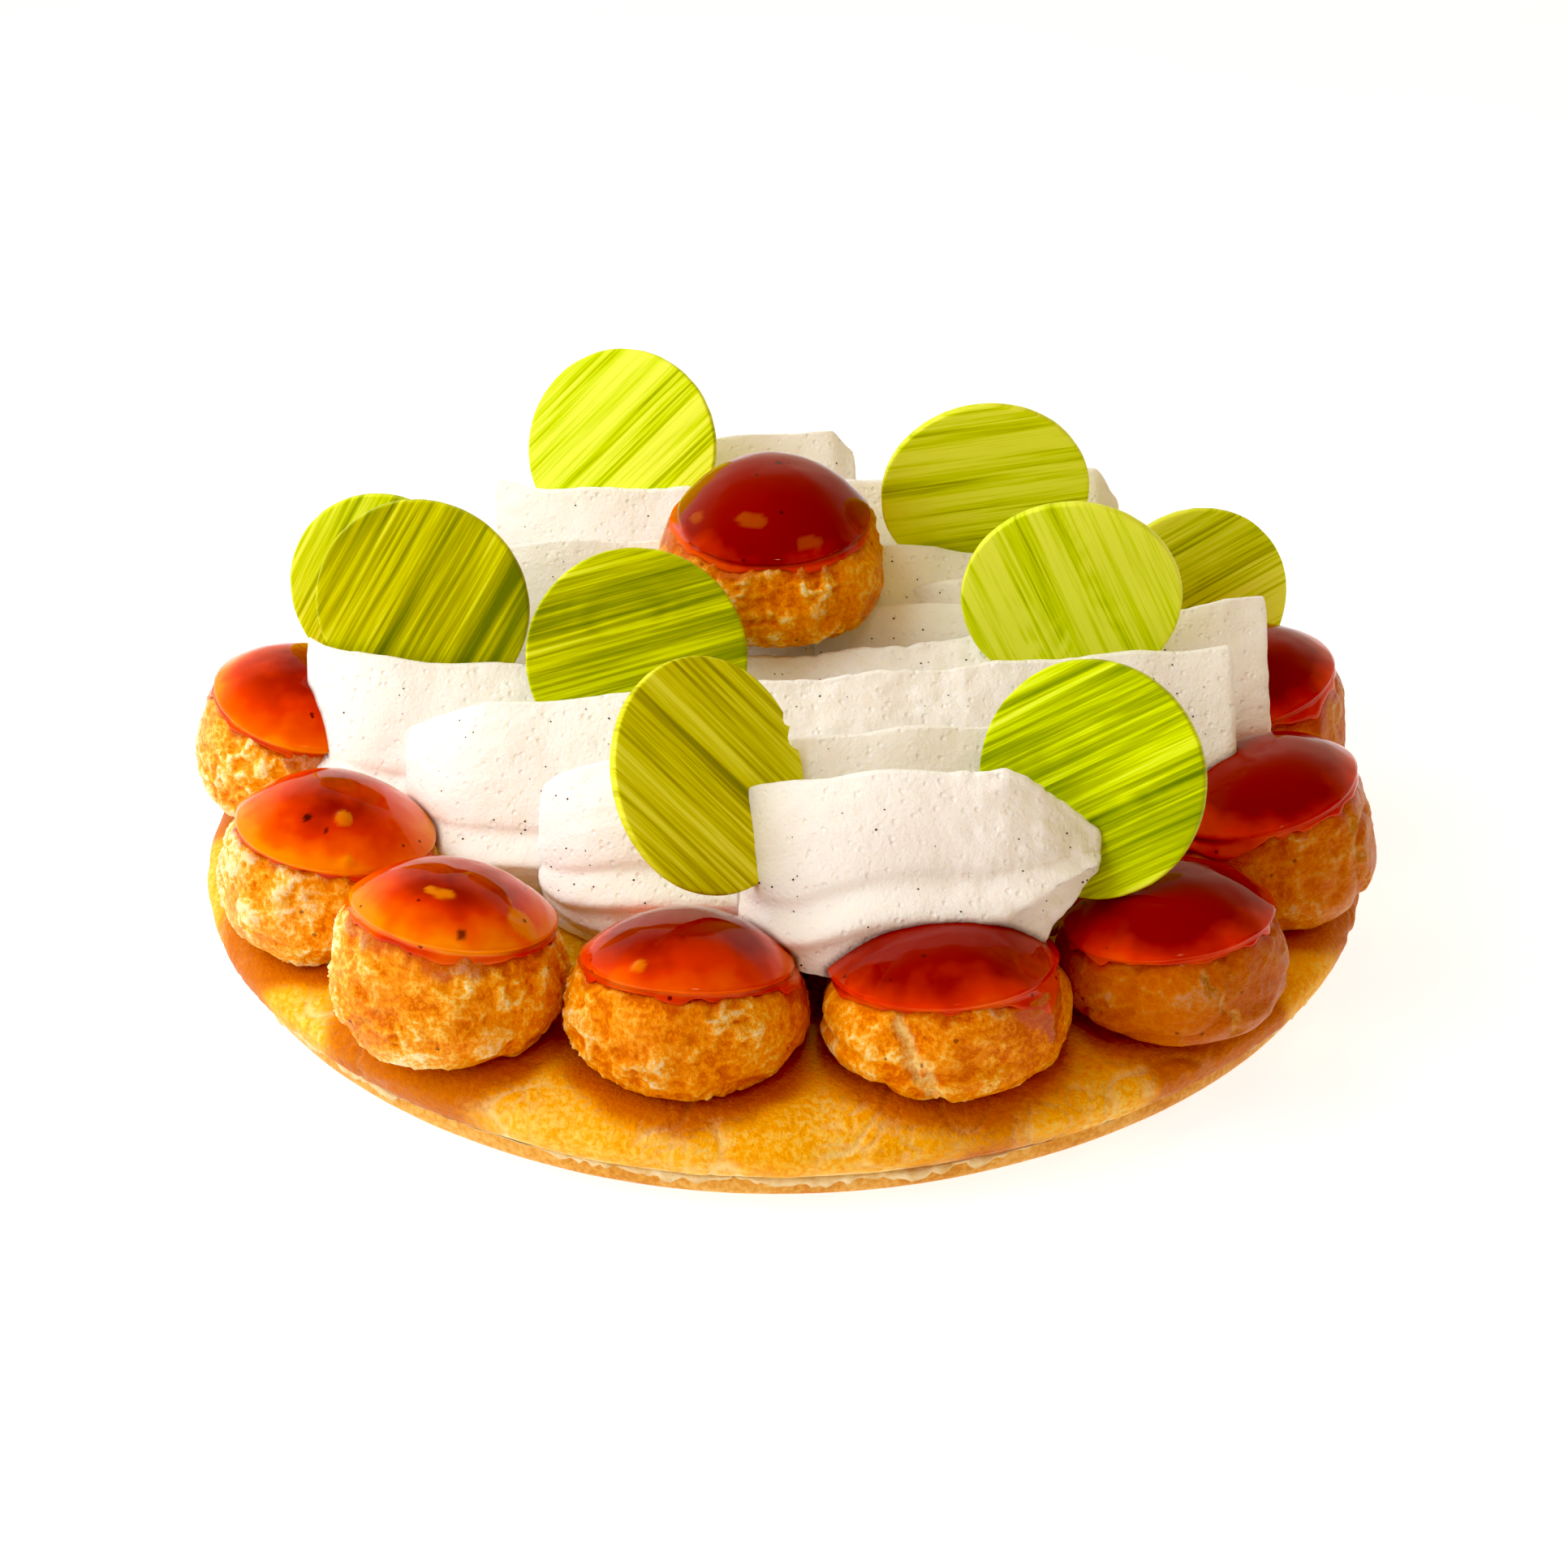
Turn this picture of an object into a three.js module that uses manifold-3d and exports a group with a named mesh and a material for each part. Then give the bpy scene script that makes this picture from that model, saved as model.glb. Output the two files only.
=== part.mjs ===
// Saint-honoré cake: a two-layer pastry base, a ring of choux puffs under caramel with one more in the
// middle, cream piped in overlapping strokes, and thin green chocolate discs stood in the cream.
// Millimetres, +Z up, origin at the centre of the underside. The front of the cake faces -Y.
import * as THREE from 'three';
import { mergeVertices } from 'three/addons/utils/BufferGeometryUtils.js';
import Module from 'manifold-3d';

const wasm = await Module();
wasm.setup();

// Free space between neighbouring pieces.
const GAP = 0.3;

// Base: a thin lower disc and a thicker upper disc with a bulging rim and a broad shoulder.
// undercut and shoulder are how far the rim draws in below and above its widest line.
const LOWER = { radius: 97.5, bottom: 0, top: 4.6, undercut: 1.2, shoulder: 1.2, steps: 4, turn: 2.98 };
const UPPER = { radius: 101, bottom: 4.9, top: 13.5, undercut: 3.2, shoulder: 11, steps: 6, turn: 2.98 };
const BASE_SIDES = 56;
const PUFF_FLOOR = UPPER.top + GAP;

// Unevenness: a sum of waves around a piece, each with its size, its number of bumps, how far it turns from
// one piece to the next and how far it twists from the foot of a piece to its top.
const LAYER_WAVES = [
  { size: 0.01, bumps: 3, turn: 1, twist: 0 },
  { size: 0.006, bumps: 5, turn: -1, twist: 0 },
];
const CRAG_WAVES = [
  { size: 0.25, bumps: 3, turn: 2.1, twist: 2 },
  { size: 0.15, bumps: 5, turn: -1.3, twist: 4 },
  { size: 0.1, bumps: 8, turn: 0.7, twist: -7 },
];
const CAP_WAVES = [
  { size: 0.022, bumps: 2, turn: 1, twist: 0 },
  { size: 0.0154, bumps: 3, turn: -2, twist: 0 },
];

// Puffs: angle and radius place one on the ring, width and height are of the pastry, cap is the width of
// the caramel on it, and lean is how far the caramel tips towards the middle, in degrees.
const RING = [
  { angle: 258.9, radius: 78.3, width: 37.6, height: 14.0, cap: 33.4, lean: 16 },
  { angle: 288.0, radius: 80.8, width: 39.0, height: 13.2, cap: 36.4, lean: 13 },
  { angle: 313.9, radius: 88.8, width: 36.4, height: 14.0, cap: 33.8, lean: 12 },
  { angle: 338.9, radius: 86.8, width: 38.0, height: 17.7, cap: 34.4, lean: 17 },
  { angle: 5.4, radius: 84.4, width: 37.5, height: 18.2, cap: 33.6, lean: 14 },
  { angle: 35.6, radius: 84.5, width: 38.0, height: 16.6, cap: 34.0, lean: 13 },
  { angle: 63.2, radius: 85.0, width: 38.6, height: 15.4, cap: 34.8, lean: 15 },
  { angle: 90.8, radius: 84.0, width: 37.0, height: 17.0, cap: 33.2, lean: 12 },
  { angle: 118.4, radius: 85.4, width: 38.4, height: 13.2, cap: 34.2, lean: 15 },
  { angle: 149.0, radius: 85.2, width: 37.5, height: 17.4, cap: 33.8, lean: 14 },
  { angle: 178.6, radius: 86.4, width: 38.0, height: 17.0, cap: 34.5, lean: 13 },
  { angle: 208.6, radius: 85.7, width: 36.5, height: 16.5, cap: 33.5, lean: 11 },
  { angle: 233.2, radius: 87.4, width: 36.6, height: 18.2, cap: 33.0, lean: 16 },
];
const CENTRE = { x: -2, y: 11, floor: 44.5, width: 39.5, height: 16.8, cap: 34.6, lean: -4 };
const RING_RISE = 7;
const CENTRE_RISE = 8.4;
const CAP_LIP = 0.8;
const DOME_POWER = 2.3;
const DOME_STEPS = [0.88, 0.65, 0.35];
const INWARD_SHEAR = 0.14;
const PUFF_SIDES = 15;
const PUFF_STEPS = [0, 0.12, 0.32, 0.55, 0.8, 1];
const BELLY_AT = 0.42;
const BELLY_POWER = 2.2;
const BOTTOM_TUCK = 0.24;
const TOP_TUCK = 0.13;

// Cream: a low bed inside the ring, and strokes laid from left to right, each in front of the next.
// from and to are the ends of a stroke's crest, bow lifts its middle, and the drops lower its two ends.
// foot is the depth of its face, floor the height of its foot, back the depth behind its crest, and taper how
// much it narrows at the end. Below its foot a stroke goes down to the bed, but one that hangs ends there.
// Its bead is at one share of the face at the start of the stroke and at another some millimetres on.
// facing is 1 for a face towards the front, and -1 for the face of the last stroke, towards the back.
const BED = { radius: 58.5, bottom: PUFF_FLOOR, top: 20, undercut: 2, shoulder: 5, steps: 4, turn: 1.3 };
const BED_SIDES = 24;
const STROKES = [
  { from: [-7.4, -64, 51], to: [48.7, -62, 52], bow: 2.5, startDrop: 6, endDrop: 9, foot: 15, floor: 25.3,
    taper: 0.8, hangs: true, bead: { start: 0.85, far: 0.6, length: 16 } },
  { from: [-39.6, -47, 46], to: [44, -40, 50.5], bow: 0.8, startDrop: 10.5, endDrop: 1, foot: 17, floor: 22.5,
    bead: { start: 0.84, far: 0.74, length: 8 } },
  { from: [-64, -27, 44], to: [74.6, -17, 51.5], bow: 0.6, startDrop: 8, endDrop: 0, foot: 20 },
  { from: [-82.8, -10, 45], to: [83.5, 2, 52], bow: -5.5, startDrop: -0.5, endDrop: 0, foot: 18 },
  { from: [-4, 8.5, 45.2], to: [58, 9, 47], bow: 0.3, startDrop: 3, endDrop: 2, foot: 12 },
  { from: [2, 14.5, 42.5], to: [58, 15.5, 51], bow: 0.6, startDrop: 2, endDrop: 3, foot: 12 },
  { from: [-62, 17, 53], to: [46, 22.5, 49], bow: 3, startDrop: 6.5, endDrop: 2, foot: 20 },
  { from: [-54.5, 40, 53], to: [62.4, 44, 57.5], bow: -0.3, startDrop: 1, endDrop: 6, foot: 20, back: 8 },
  { from: [-45, 57, 52], to: [13.6, 61, 58], bow: 1, startDrop: 6.5, endDrop: 5, foot: 18, back: 6 },
  { from: [-37, 68, 46], to: [47, 63, 41], bow: 1, startDrop: 8, endDrop: 5, foot: 15, back: 8, facing: -1 },
];
const STROKE_BACK = 5;
const STROKE_FLOOR = 24;
const ROOT_FLOOR = BED.top + GAP;
const ROOT_INSET = 1.5;
const STROKE_STATIONS = 10;
const START_LENGTH = 7;
const START_CURL = 10;
const CURL_LENGTH = 10;
const START_TUCK = 0.5;
const TUCK_LENGTH = 6;
const END_LENGTH = 5;
const TAPER_LENGTH = 16;
const TAPER_POWER = 1.5;
const END_STEPS = [0.4, 0.75];
const RIPPLE = 0.35;
const RIPPLE_TURN = 0.3;
const CREST_HALF = 0.6;
const BACK_BULGE = 0.6;
const BACK_BULGE_AT = 0.5;
const FACE_STEPS = [0.15, 0.5];
const FACE_POWER = 1.3;
const BEAD = { start: 0.87, far: 0.87, length: 1 };
const BEAD_STEPS = [-2, -1, 0, 1];
const BEAD_SPREAD = 0.085;
const BEAD_DEPTH = 2.2;

// Chocolate discs: centre, turn about the vertical and lean of the top to the back, in degrees.
const DISC_RADIUS = 18.6;
const DISC_THICKNESS = 1.6;
const DISC_SIDES = 28;
const DISCS = [
  { at: [-30.3, 48.8, 59.1], turn: -18.8, lean: 24.6 },
  { at: [-72, 23.5, 41.8], turn: -12, lean: 8 },
  { at: [-62.2, -0.8, 51.4], turn: -5.4, lean: 12.1 },
  { at: [-24.7, -16.2, 49.3], turn: 1, lean: 18.4 },
  { at: [-11.5, -58, 51], turn: 48, lean: 30 },
  { at: [35.8, 24, 61.3], turn: 1.9, lean: -10 },
  { at: [48.6, -7, 56], turn: -4.5, lean: -6 },
  { at: [47.4, -57, 49.7], turn: -29.6, lean: 21.6 },
  { at: [75.4, 30.5, 36], turn: 13, lean: 6 },
];

const radians = THREE.MathUtils.degToRad;

function material(color, roughness) {
  return new THREE.MeshStandardMaterial({ color, roughness, metalness: 0 });
}

const LOOKS = {
  shortcrust: material('#d9a860', 0.75),
  puffPastry: material('#dd9c4a', 0.7),
  choux: material('#d98a35', 0.65),
  caramel: material('#8e2410', 0.12),
  cream: material('#efe6d8', 0.6),
  chocolate: material('#a3bd2c', 0.45),
};

// Closed meshes and solids

function closedMesh(geometry) {
  const bare = geometry.clone();
  bare.deleteAttribute('normal');
  bare.deleteAttribute('uv');
  return mergeVertices(bare);
}

function distinctTriangles(index) {
  const kept = [];
  for (let i = 0; i < index.count; i += 3) {
    const corners = [index.getX(i), index.getX(i + 1), index.getX(i + 2)];
    if (new Set(corners).size === 3) kept.push(...corners);
  }
  return kept;
}

function toSolid(geometry) {
  const closed = closedMesh(geometry);
  const vertProperties = new Float32Array(closed.getAttribute('position').array);
  const triVerts = new Uint32Array(distinctTriangles(closed.getIndex()));
  return new wasm.Manifold(new wasm.Mesh({ numProp: 3, vertProperties, triVerts }));
}

function toGeometry(solid) {
  const { vertProperties, triVerts } = solid.getMesh();
  const geometry = new THREE.BufferGeometry();
  geometry.setAttribute('position', new THREE.BufferAttribute(vertProperties, 3));
  geometry.setIndex(new THREE.BufferAttribute(triVerts, 1));
  geometry.computeVertexNormals();
  return geometry;
}

function largestPiece(solid) {
  const pieces = solid.decompose();
  return pieces.reduce((best, piece) => (piece.volume() > best.volume() ? piece : best));
}

function boxOf(geometry) {
  geometry.computeBoundingBox();
  return geometry.boundingBox;
}

function carve(geometry, cutters) {
  const near = cutters.filter((cutter) => boxOf(cutter).intersectsBox(boxOf(geometry)));
  const cut = near.reduce((solid, cutter) => solid.subtract(toSolid(cutter)), toSolid(geometry));
  return toGeometry(largestPiece(cut));
}

function warp(geometry, move) {
  const position = geometry.getAttribute('position');
  const point = new THREE.Vector3();
  for (let i = 0; i < position.count; i += 1) {
    point.fromBufferAttribute(position, i);
    move(point);
    position.setXYZ(i, point.x, point.y, point.z);
  }
  geometry.computeVertexNormals();
  return geometry;
}

function lathe(profile, sides) {
  return new THREE.LatheGeometry(profile, sides).rotateX(Math.PI / 2);
}

function aroundAxis(point) {
  return Math.atan2(point.y, point.x);
}

function scaleAcross(point, scale) {
  point.x *= scale;
  point.y *= scale;
}

function waveSum(waves, around, number, t) {
  const heights = waves.map(({ size, bumps, turn, twist }) => (
    size * Math.sin(bumps * around + turn * number + twist * t)
  ));
  return heights.reduce((sum, height) => sum + height, 0);
}

// Round layers: the base discs and the cream bed

function layerProfile({ radius, bottom, top, undercut, shoulder, steps }) {
  const middle = (bottom + top) / 2;
  const half = (top - bottom) / 2;
  const profile = [new THREE.Vector2(0, bottom)];
  for (let i = 0; i <= steps; i += 1) {
    const turn = Math.PI * (i / steps - 0.5);
    const inset = turn < 0 ? undercut : shoulder;
    profile.push(new THREE.Vector2(radius - inset * (1 - Math.cos(turn)), middle + half * Math.sin(turn)));
  }
  profile.push(new THREE.Vector2(0, top));
  return profile;
}

function roundLayer(layer, sides) {
  return warp(lathe(layerProfile(layer), sides), (point) => {
    scaleAcross(point, 1 + waveSum(LAYER_WAVES, aroundAxis(point), layer.turn, 0));
  });
}

// Puffs and their caramel, made with the outward side of the ring along +X

function puffRadius(t, width) {
  const below = t < BELLY_AT;
  const reach = below ? (BELLY_AT - t) / BELLY_AT : (t - BELLY_AT) / (1 - BELLY_AT);
  const tuck = below ? BOTTOM_TUCK : TOP_TUCK;
  return (width / 2) * (1 - tuck * reach ** BELLY_POWER);
}

function seatOnSlope(point, rise, lean) {
  point.z = rise + point.x * Math.tan(radians(lean));
}

function shearInward(point) {
  point.x -= INWARD_SHEAR * point.z;
}

function puffGeometry({ width, height, lean, number }, grow = 0) {
  const rings = PUFF_STEPS.map((t) => new THREE.Vector2(puffRadius(t, width) + grow, t));
  const profile = [new THREE.Vector2(0, 0), ...rings, new THREE.Vector2(0, 1)];
  return warp(lathe(profile, PUFF_SIDES), (point) => {
    const t = point.z;
    const across = Math.hypot(point.x, point.y);
    if (across > grow) {
      scaleAcross(point, 1 + waveSum(CRAG_WAVES, aroundAxis(point), number, t) / across);
    }
    const slope = t * point.x * Math.tan(radians(lean));
    point.z = t * height + slope + grow * (2 * t - 1);
    shearInward(point);
  });
}

function capGeometry({ height, cap, lean, rise, number }, grow = 0) {
  const radius = cap / 2 + grow;
  const dome = DOME_STEPS.map((share) => new THREE.Vector2(
    radius * share,
    CAP_LIP + grow + rise * (1 - share ** DOME_POWER),
  ));
  const profile = [
    new THREE.Vector2(0, -grow),
    new THREE.Vector2(radius - CAP_LIP, -grow),
    new THREE.Vector2(radius, CAP_LIP),
    ...dome,
    new THREE.Vector2(0, CAP_LIP + rise + grow),
  ];
  return warp(lathe(profile, PUFF_SIDES), (point) => {
    scaleAcross(point, 1 + waveSum(CAP_WAVES, aroundAxis(point), number, 0));
    seatOnSlope(point, height + GAP + point.z, lean);
    shearInward(point);
  });
}

function ringPlace({ angle, radius }) {
  const turn = radians(angle);
  const place = new THREE.Object3D();
  place.position.set(radius * Math.cos(turn), radius * Math.sin(turn), PUFF_FLOOR);
  place.rotation.z = turn;
  return place;
}

function centrePlace({ x, y, floor }) {
  const place = new THREE.Object3D();
  place.position.set(x, y, floor);
  place.rotation.z = -Math.PI / 2;
  return place;
}

function puffRows() {
  const ring = RING.map((row, i) => ({
    ...row,
    number: i + 1,
    rise: RING_RISE,
    label: String(i + 1).padStart(2, '0'),
    place: ringPlace(row),
  }));
  const centre = {
    ...CENTRE,
    number: RING.length + 1,
    rise: CENTRE_RISE,
    label: 'centre',
    place: centrePlace(CENTRE),
  };
  return [...ring, centre];
}

// Chocolate discs, upright with their faces to the front and back before they are turned and leaned

function discGeometry(grow = 0) {
  return new THREE.CylinderGeometry(
    DISC_RADIUS + grow,
    DISC_RADIUS + grow,
    DISC_THICKNESS + 2 * grow,
    DISC_SIDES,
  );
}

function discPlace({ at, turn, lean }) {
  const place = new THREE.Object3D();
  place.position.set(...at);
  place.rotation.set(-radians(lean), 0, radians(turn), 'ZXY');
  return place;
}

// Cream strokes: a section with a rounded face, a bead at its foot, a root below it and a thin crest, swept
// along the crest

function beadShare({ bead: { start, far, length } }, along) {
  return far + (start - far) * Math.exp(-((along / length) ** 2));
}

function faceShares(beadAt) {
  const beadTop = beadAt + BEAD_STEPS[0] * BEAD_SPREAD;
  const above = FACE_STEPS.map((step) => step * beadTop);
  return [...above, ...BEAD_STEPS.map((step) => beadAt + step * BEAD_SPREAD), 1];
}

function faceDepth(q, foot, beadAt) {
  const bead = BEAD_DEPTH * Math.exp(-(((q - beadAt) / BEAD_SPREAD) ** 2));
  return foot * (1 - (1 - q) ** FACE_POWER) + bead;
}

function strokeSection(height, foot, beadAt, root, depth, grow) {
  const front = CREST_HALF + grow;
  const back = -CREST_HALF - grow;
  const face = faceShares(beadAt).map((q) => (
    new THREE.Vector2(front + faceDepth(q, foot, beadAt), -q * height)
  ));
  return [
    new THREE.Vector2(front, grow),
    ...face,
    new THREE.Vector2(front + foot - ROOT_INSET, -height - root),
    new THREE.Vector2(back - depth, -height - root),
    new THREE.Vector2(back - depth * BACK_BULGE, -height * BACK_BULGE_AT),
    new THREE.Vector2(back, grow),
  ];
}

function endShare({ from, to, taper }) {
  return (taper > 0 ? TAPER_LENGTH : END_LENGTH) / (to[0] - from[0]);
}

function nearEnd(stroke, s) {
  const share = endShare(stroke);
  const into = Math.max(0, (s - 1 + share) / share);
  return stroke.taper > 0 ? into ** TAPER_POWER : THREE.MathUtils.smoothstep(into, 0, 1);
}

function rootDepth({ floor, hangs }) {
  return hangs ? 0 : floor - ROOT_FLOOR;
}

function startTuck(along) {
  return 1 - START_TUCK * Math.exp(-along / TUCK_LENGTH);
}

function crestAt(stroke, s) {
  const { from, to, bow, startDrop, endDrop, facing, number } = stroke;
  const start = new THREE.Vector3(...from);
  const crest = start.clone().lerp(new THREE.Vector3(...to), s);
  const along = crest.x - start.x;
  crest.y += facing * START_CURL * Math.exp(-along / CURL_LENGTH);
  crest.z += bow * 4 * s * (1 - s);
  crest.z -= startDrop * Math.exp(-along / START_LENGTH);
  crest.z -= endDrop * nearEnd(stroke, s);
  crest.z += RIPPLE * Math.sin(RIPPLE_TURN * along + number);
  return crest;
}

function strokeStation(stroke, s, grow) {
  const crest = crestAt(stroke, s);
  const left = 1 - stroke.taper * nearEnd(stroke, s);
  const height = (crest.z - stroke.floor) * left;
  const along = crest.x - stroke.from[0];
  const foot = stroke.foot * left * startTuck(along);
  const section = strokeSection(height, foot, beadShare(stroke, along), rootDepth(stroke), stroke.back, grow);
  if (s === 0) crest.x -= grow;
  if (s === 1) crest.x += grow;
  return section.map(({ x, y }) => [crest.x, crest.y - stroke.facing * x, crest.z + y]);
}

function sweep(stations, endFaces) {
  const count = stations[0].length;
  const last = (stations.length - 1) * count;
  const index = [];
  for (let i = 0; i + 1 < stations.length; i += 1) {
    for (let j = 0; j < count; j += 1) {
      const a = i * count + j;
      const b = i * count + ((j + 1) % count);
      index.push(a, b, a + count, b, b + count, a + count);
    }
  }
  endFaces.forEach(([a, b, c]) => index.push(a, b, c, last + c, last + b, last + a));
  const geometry = new THREE.BufferGeometry();
  geometry.setAttribute('position', new THREE.Float32BufferAttribute(stations.flat(2), 3));
  geometry.setIndex(index);
  geometry.computeVertexNormals();
  return geometry;
}

function stationShares(stroke) {
  const plain = 1 - endShare(stroke);
  const shares = [];
  for (let i = 0; i <= STROKE_STATIONS; i += 1) shares.push((plain * i) / STROKE_STATIONS);
  const tip = END_STEPS.map((step) => plain + step * endShare(stroke));
  return [...shares, ...tip, 1];
}

function strokeGeometry(stroke, grow = 0) {
  const stations = stationShares(stroke).map((s) => strokeStation(stroke, s, grow));
  if (stroke.facing < 0) stations.reverse();
  const height = stroke.from[2] - stroke.floor;
  const outline = strokeSection(height, stroke.foot, stroke.bead.start, rootDepth(stroke), stroke.back, 0);
  return sweep(stations, THREE.ShapeUtils.triangulateShape(outline, []));
}

// Assembly

function placedCopy(geometry, place) {
  place.updateMatrix();
  return geometry.clone().applyMatrix4(place.matrix);
}

function addPiece(cake, name, geometry, look, place) {
  const mesh = new THREE.Mesh(geometry, look);
  mesh.name = name;
  if (place) {
    mesh.position.copy(place.position);
    mesh.rotation.copy(place.rotation);
  }
  cake.add(mesh);
}

function buildCake() {
  const cake = new THREE.Group();
  addPiece(cake, 'base_lower', roundLayer(LOWER, BASE_SIDES), LOOKS.shortcrust);
  addPiece(cake, 'base_upper', roundLayer(UPPER, BASE_SIDES), LOOKS.puffPastry);
  addPiece(cake, 'cream_bed', roundLayer(BED, BED_SIDES), LOOKS.cream);

  const cutters = [];
  puffRows().forEach((row) => {
    addPiece(cake, `puff_${row.label}`, puffGeometry(row), LOOKS.choux, row.place);
    addPiece(cake, `caramel_${row.label}`, capGeometry(row), LOOKS.caramel, row.place);
    cutters.push(placedCopy(puffGeometry(row, GAP), row.place));
    cutters.push(placedCopy(capGeometry(row, GAP), row.place));
  });
  DISCS.forEach((row, i) => {
    const place = discPlace(row);
    addPiece(cake, `disc_${i + 1}`, discGeometry(), LOOKS.chocolate, place);
    cutters.push(placedCopy(discGeometry(GAP), place));
  });
  STROKES.forEach((row, i) => {
    const common = { taper: 0, back: STROKE_BACK, floor: STROKE_FLOOR, bead: BEAD, facing: 1 };
    const stroke = { ...common, ...row, number: i + 1 };
    addPiece(cake, `cream_${i + 1}`, carve(strokeGeometry(stroke), cutters), LOOKS.cream);
    cutters.push(strokeGeometry(stroke, GAP));
  });
  return cake;
}

export default buildCake();
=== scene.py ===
"""Saint-honoré cake: the looks of its pastry, caramel, cream and chocolate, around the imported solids.

Sizes are in millimetres and turn into metres where a mesh is made. The front of the cake faces -Y.
"""
import itertools
import math

import bpy
import numpy as np
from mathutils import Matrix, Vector


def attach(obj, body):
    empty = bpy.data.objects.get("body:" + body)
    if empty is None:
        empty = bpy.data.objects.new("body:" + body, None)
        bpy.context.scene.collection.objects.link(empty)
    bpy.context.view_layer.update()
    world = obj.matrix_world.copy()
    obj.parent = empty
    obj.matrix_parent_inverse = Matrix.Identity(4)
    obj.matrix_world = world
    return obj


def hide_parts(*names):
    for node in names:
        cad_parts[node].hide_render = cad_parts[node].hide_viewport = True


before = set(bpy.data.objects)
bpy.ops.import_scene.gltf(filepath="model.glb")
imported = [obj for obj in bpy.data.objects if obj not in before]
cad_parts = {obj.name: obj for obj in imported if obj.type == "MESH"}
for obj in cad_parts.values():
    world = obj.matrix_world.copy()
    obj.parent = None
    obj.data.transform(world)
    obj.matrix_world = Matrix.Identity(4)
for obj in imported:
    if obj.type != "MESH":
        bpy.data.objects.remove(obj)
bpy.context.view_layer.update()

MM = 0.001
GAP = 0.3

# Seed of the specks, and the first seed and the steps from one puff, caramel run, cap or stroke to the next
SEED = 11
PUFF_SEEDS = 40
SOAK_SEEDS = 60
CAP_SEEDS = 70
STROKE_SEEDS = 90

# Base and cream bed: the round layers as in the solids, and their points around, steps over each flat side
# and steps up the rim. Bumps here and below have a height, a size and a seed.
LOWER = {"radius": 97.5, "bottom": 0.0, "top": 4.6, "undercut": 1.2, "shoulder": 1.2, "turn": 2.98}
UPPER = {"radius": 101.0, "bottom": 4.9, "top": 13.5, "undercut": 3.2, "shoulder": 11.0, "turn": 2.98}
BED = {"radius": 58.5, "bottom": 13.8, "top": 20.0, "undercut": 2.0, "shoulder": 5.0, "turn": 1.3}
LAYER_WAVES = [(0.01, 3, 1, 0), (0.006, 5, -1, 0)]
LOWER_STEPS = (360, 6, 16)
UPPER_STEPS = (1080, 12, 56)
BED_STEPS = (96, 20, 20)
LAYER_MIDDLE = 0.04
LOWER_CRUST = [(0.25, "#d89034"), (0.5, "#e8aa48"), (0.75, "#f2c26a")]
UPPER_CRUST = [(0.25, "#f49e10"), (0.5, "#fcb422"), (0.75, "#ffd058")]
LOWER_BUMPS = [(0.15, 6.0, 19)]
UPPER_BUMPS = [(0.35, 13.0, 11), (0.2, 4.5, 12)]
BED_BUMPS = [(0.4, 9.0, 20)]
# Heights over the underside of a layer between which its relief sets in
LOWER_FADE = (0.0, 0.8)
UPPER_FADE = (-0.1, 1.5)

# Wrinkles of the base: size, width, strength and seed of the lines, and the patches that have them
WRINKLE_STRETCH = (1, 1, 0.4)
WRINKLE_LINES = [(9.0, 0.06, 1.0, 13), (4.0, 0.08, 0.7, 17), (2.0, 0.14, 0.5, 18)]
WRINKLE_PATCH = (14.0, -0.3, 0.25, 15)
WRINKLE_DEPTH = 0.45
WRINKLE_PALENESS = 0.75

# Pale torn edge under the rim of the upper layer, and painted shade round the feet of the puffs
TORN_SPAN = (0.4, 1.6)
TORN_BUMPS = [(0.7, 3.5, 16)]
TORN_PALENESS = 0.85
FOOT_SHADE_SPAN = (-2.0, 4.5)
FOOT_SHADE_BUMPS = [(1.8, 5.0, 14)]
FOOT_SHADE_SHARE = 0.85

# Puffs: angle and radius on the ring, width and height of the pastry, width and lean of the caramel
RING = [
    ("01", 258.9, 78.3, 37.6, 14.0, 33.4, 16),
    ("02", 288.0, 80.8, 39.0, 13.2, 36.4, 13),
    ("03", 313.9, 88.8, 36.4, 14.0, 33.8, 12),
    ("04", 338.9, 86.8, 38.0, 17.7, 34.4, 17),
    ("05", 5.4, 84.4, 37.5, 18.2, 33.6, 14),
    ("06", 35.6, 84.5, 38.0, 16.6, 34.0, 13),
    ("07", 63.2, 85.0, 38.6, 15.4, 34.8, 15),
    ("08", 90.8, 84.0, 37.0, 17.0, 33.2, 12),
    ("09", 118.4, 85.4, 38.4, 13.2, 34.2, 15),
    ("10", 149.0, 85.2, 37.5, 17.4, 33.8, 14),
    ("11", 178.6, 86.4, 38.0, 17.0, 34.5, 13),
    ("12", 208.6, 85.7, 36.5, 16.5, 33.5, 11),
    ("13", 233.2, 87.4, 36.6, 18.2, 33.0, 16),
]
CENTRE = {"label": "centre", "spot": (-2.0, 11.0, 44.5), "angle": -90.0, "rise": 8.4,
          "width": 39.5, "height": 16.8, "cap": 34.6, "lean": -4}
RING_RISE = 7.0
PUFF_FLOOR = UPPER["top"] + GAP
CAP_LIP = 0.8
DOME_POWER = 2.3
CRAG_WAVES = [(0.25, 3, 2.1, 2), (0.15, 5, -1.3, 4), (0.1, 8, 0.7, -7)]
CAP_WAVES = [(0.022, 2, 1, 0), (0.0154, 3, -2, 0)]
INWARD_SHEAR = 0.14
BELLY_AT = 0.42
BELLY_POWER = 2.2
BOTTOM_TUCK = 0.24
TOP_TUCK = 0.13
PUFF_AROUND = 200
PUFF_RINGS = 48
PUFF_FLAT = np.array([0.15, 0.5, 0.8, 0.93])
PUFF_EDGE = 1.6
PUFF_EDGE_FADE = 0.35

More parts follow.
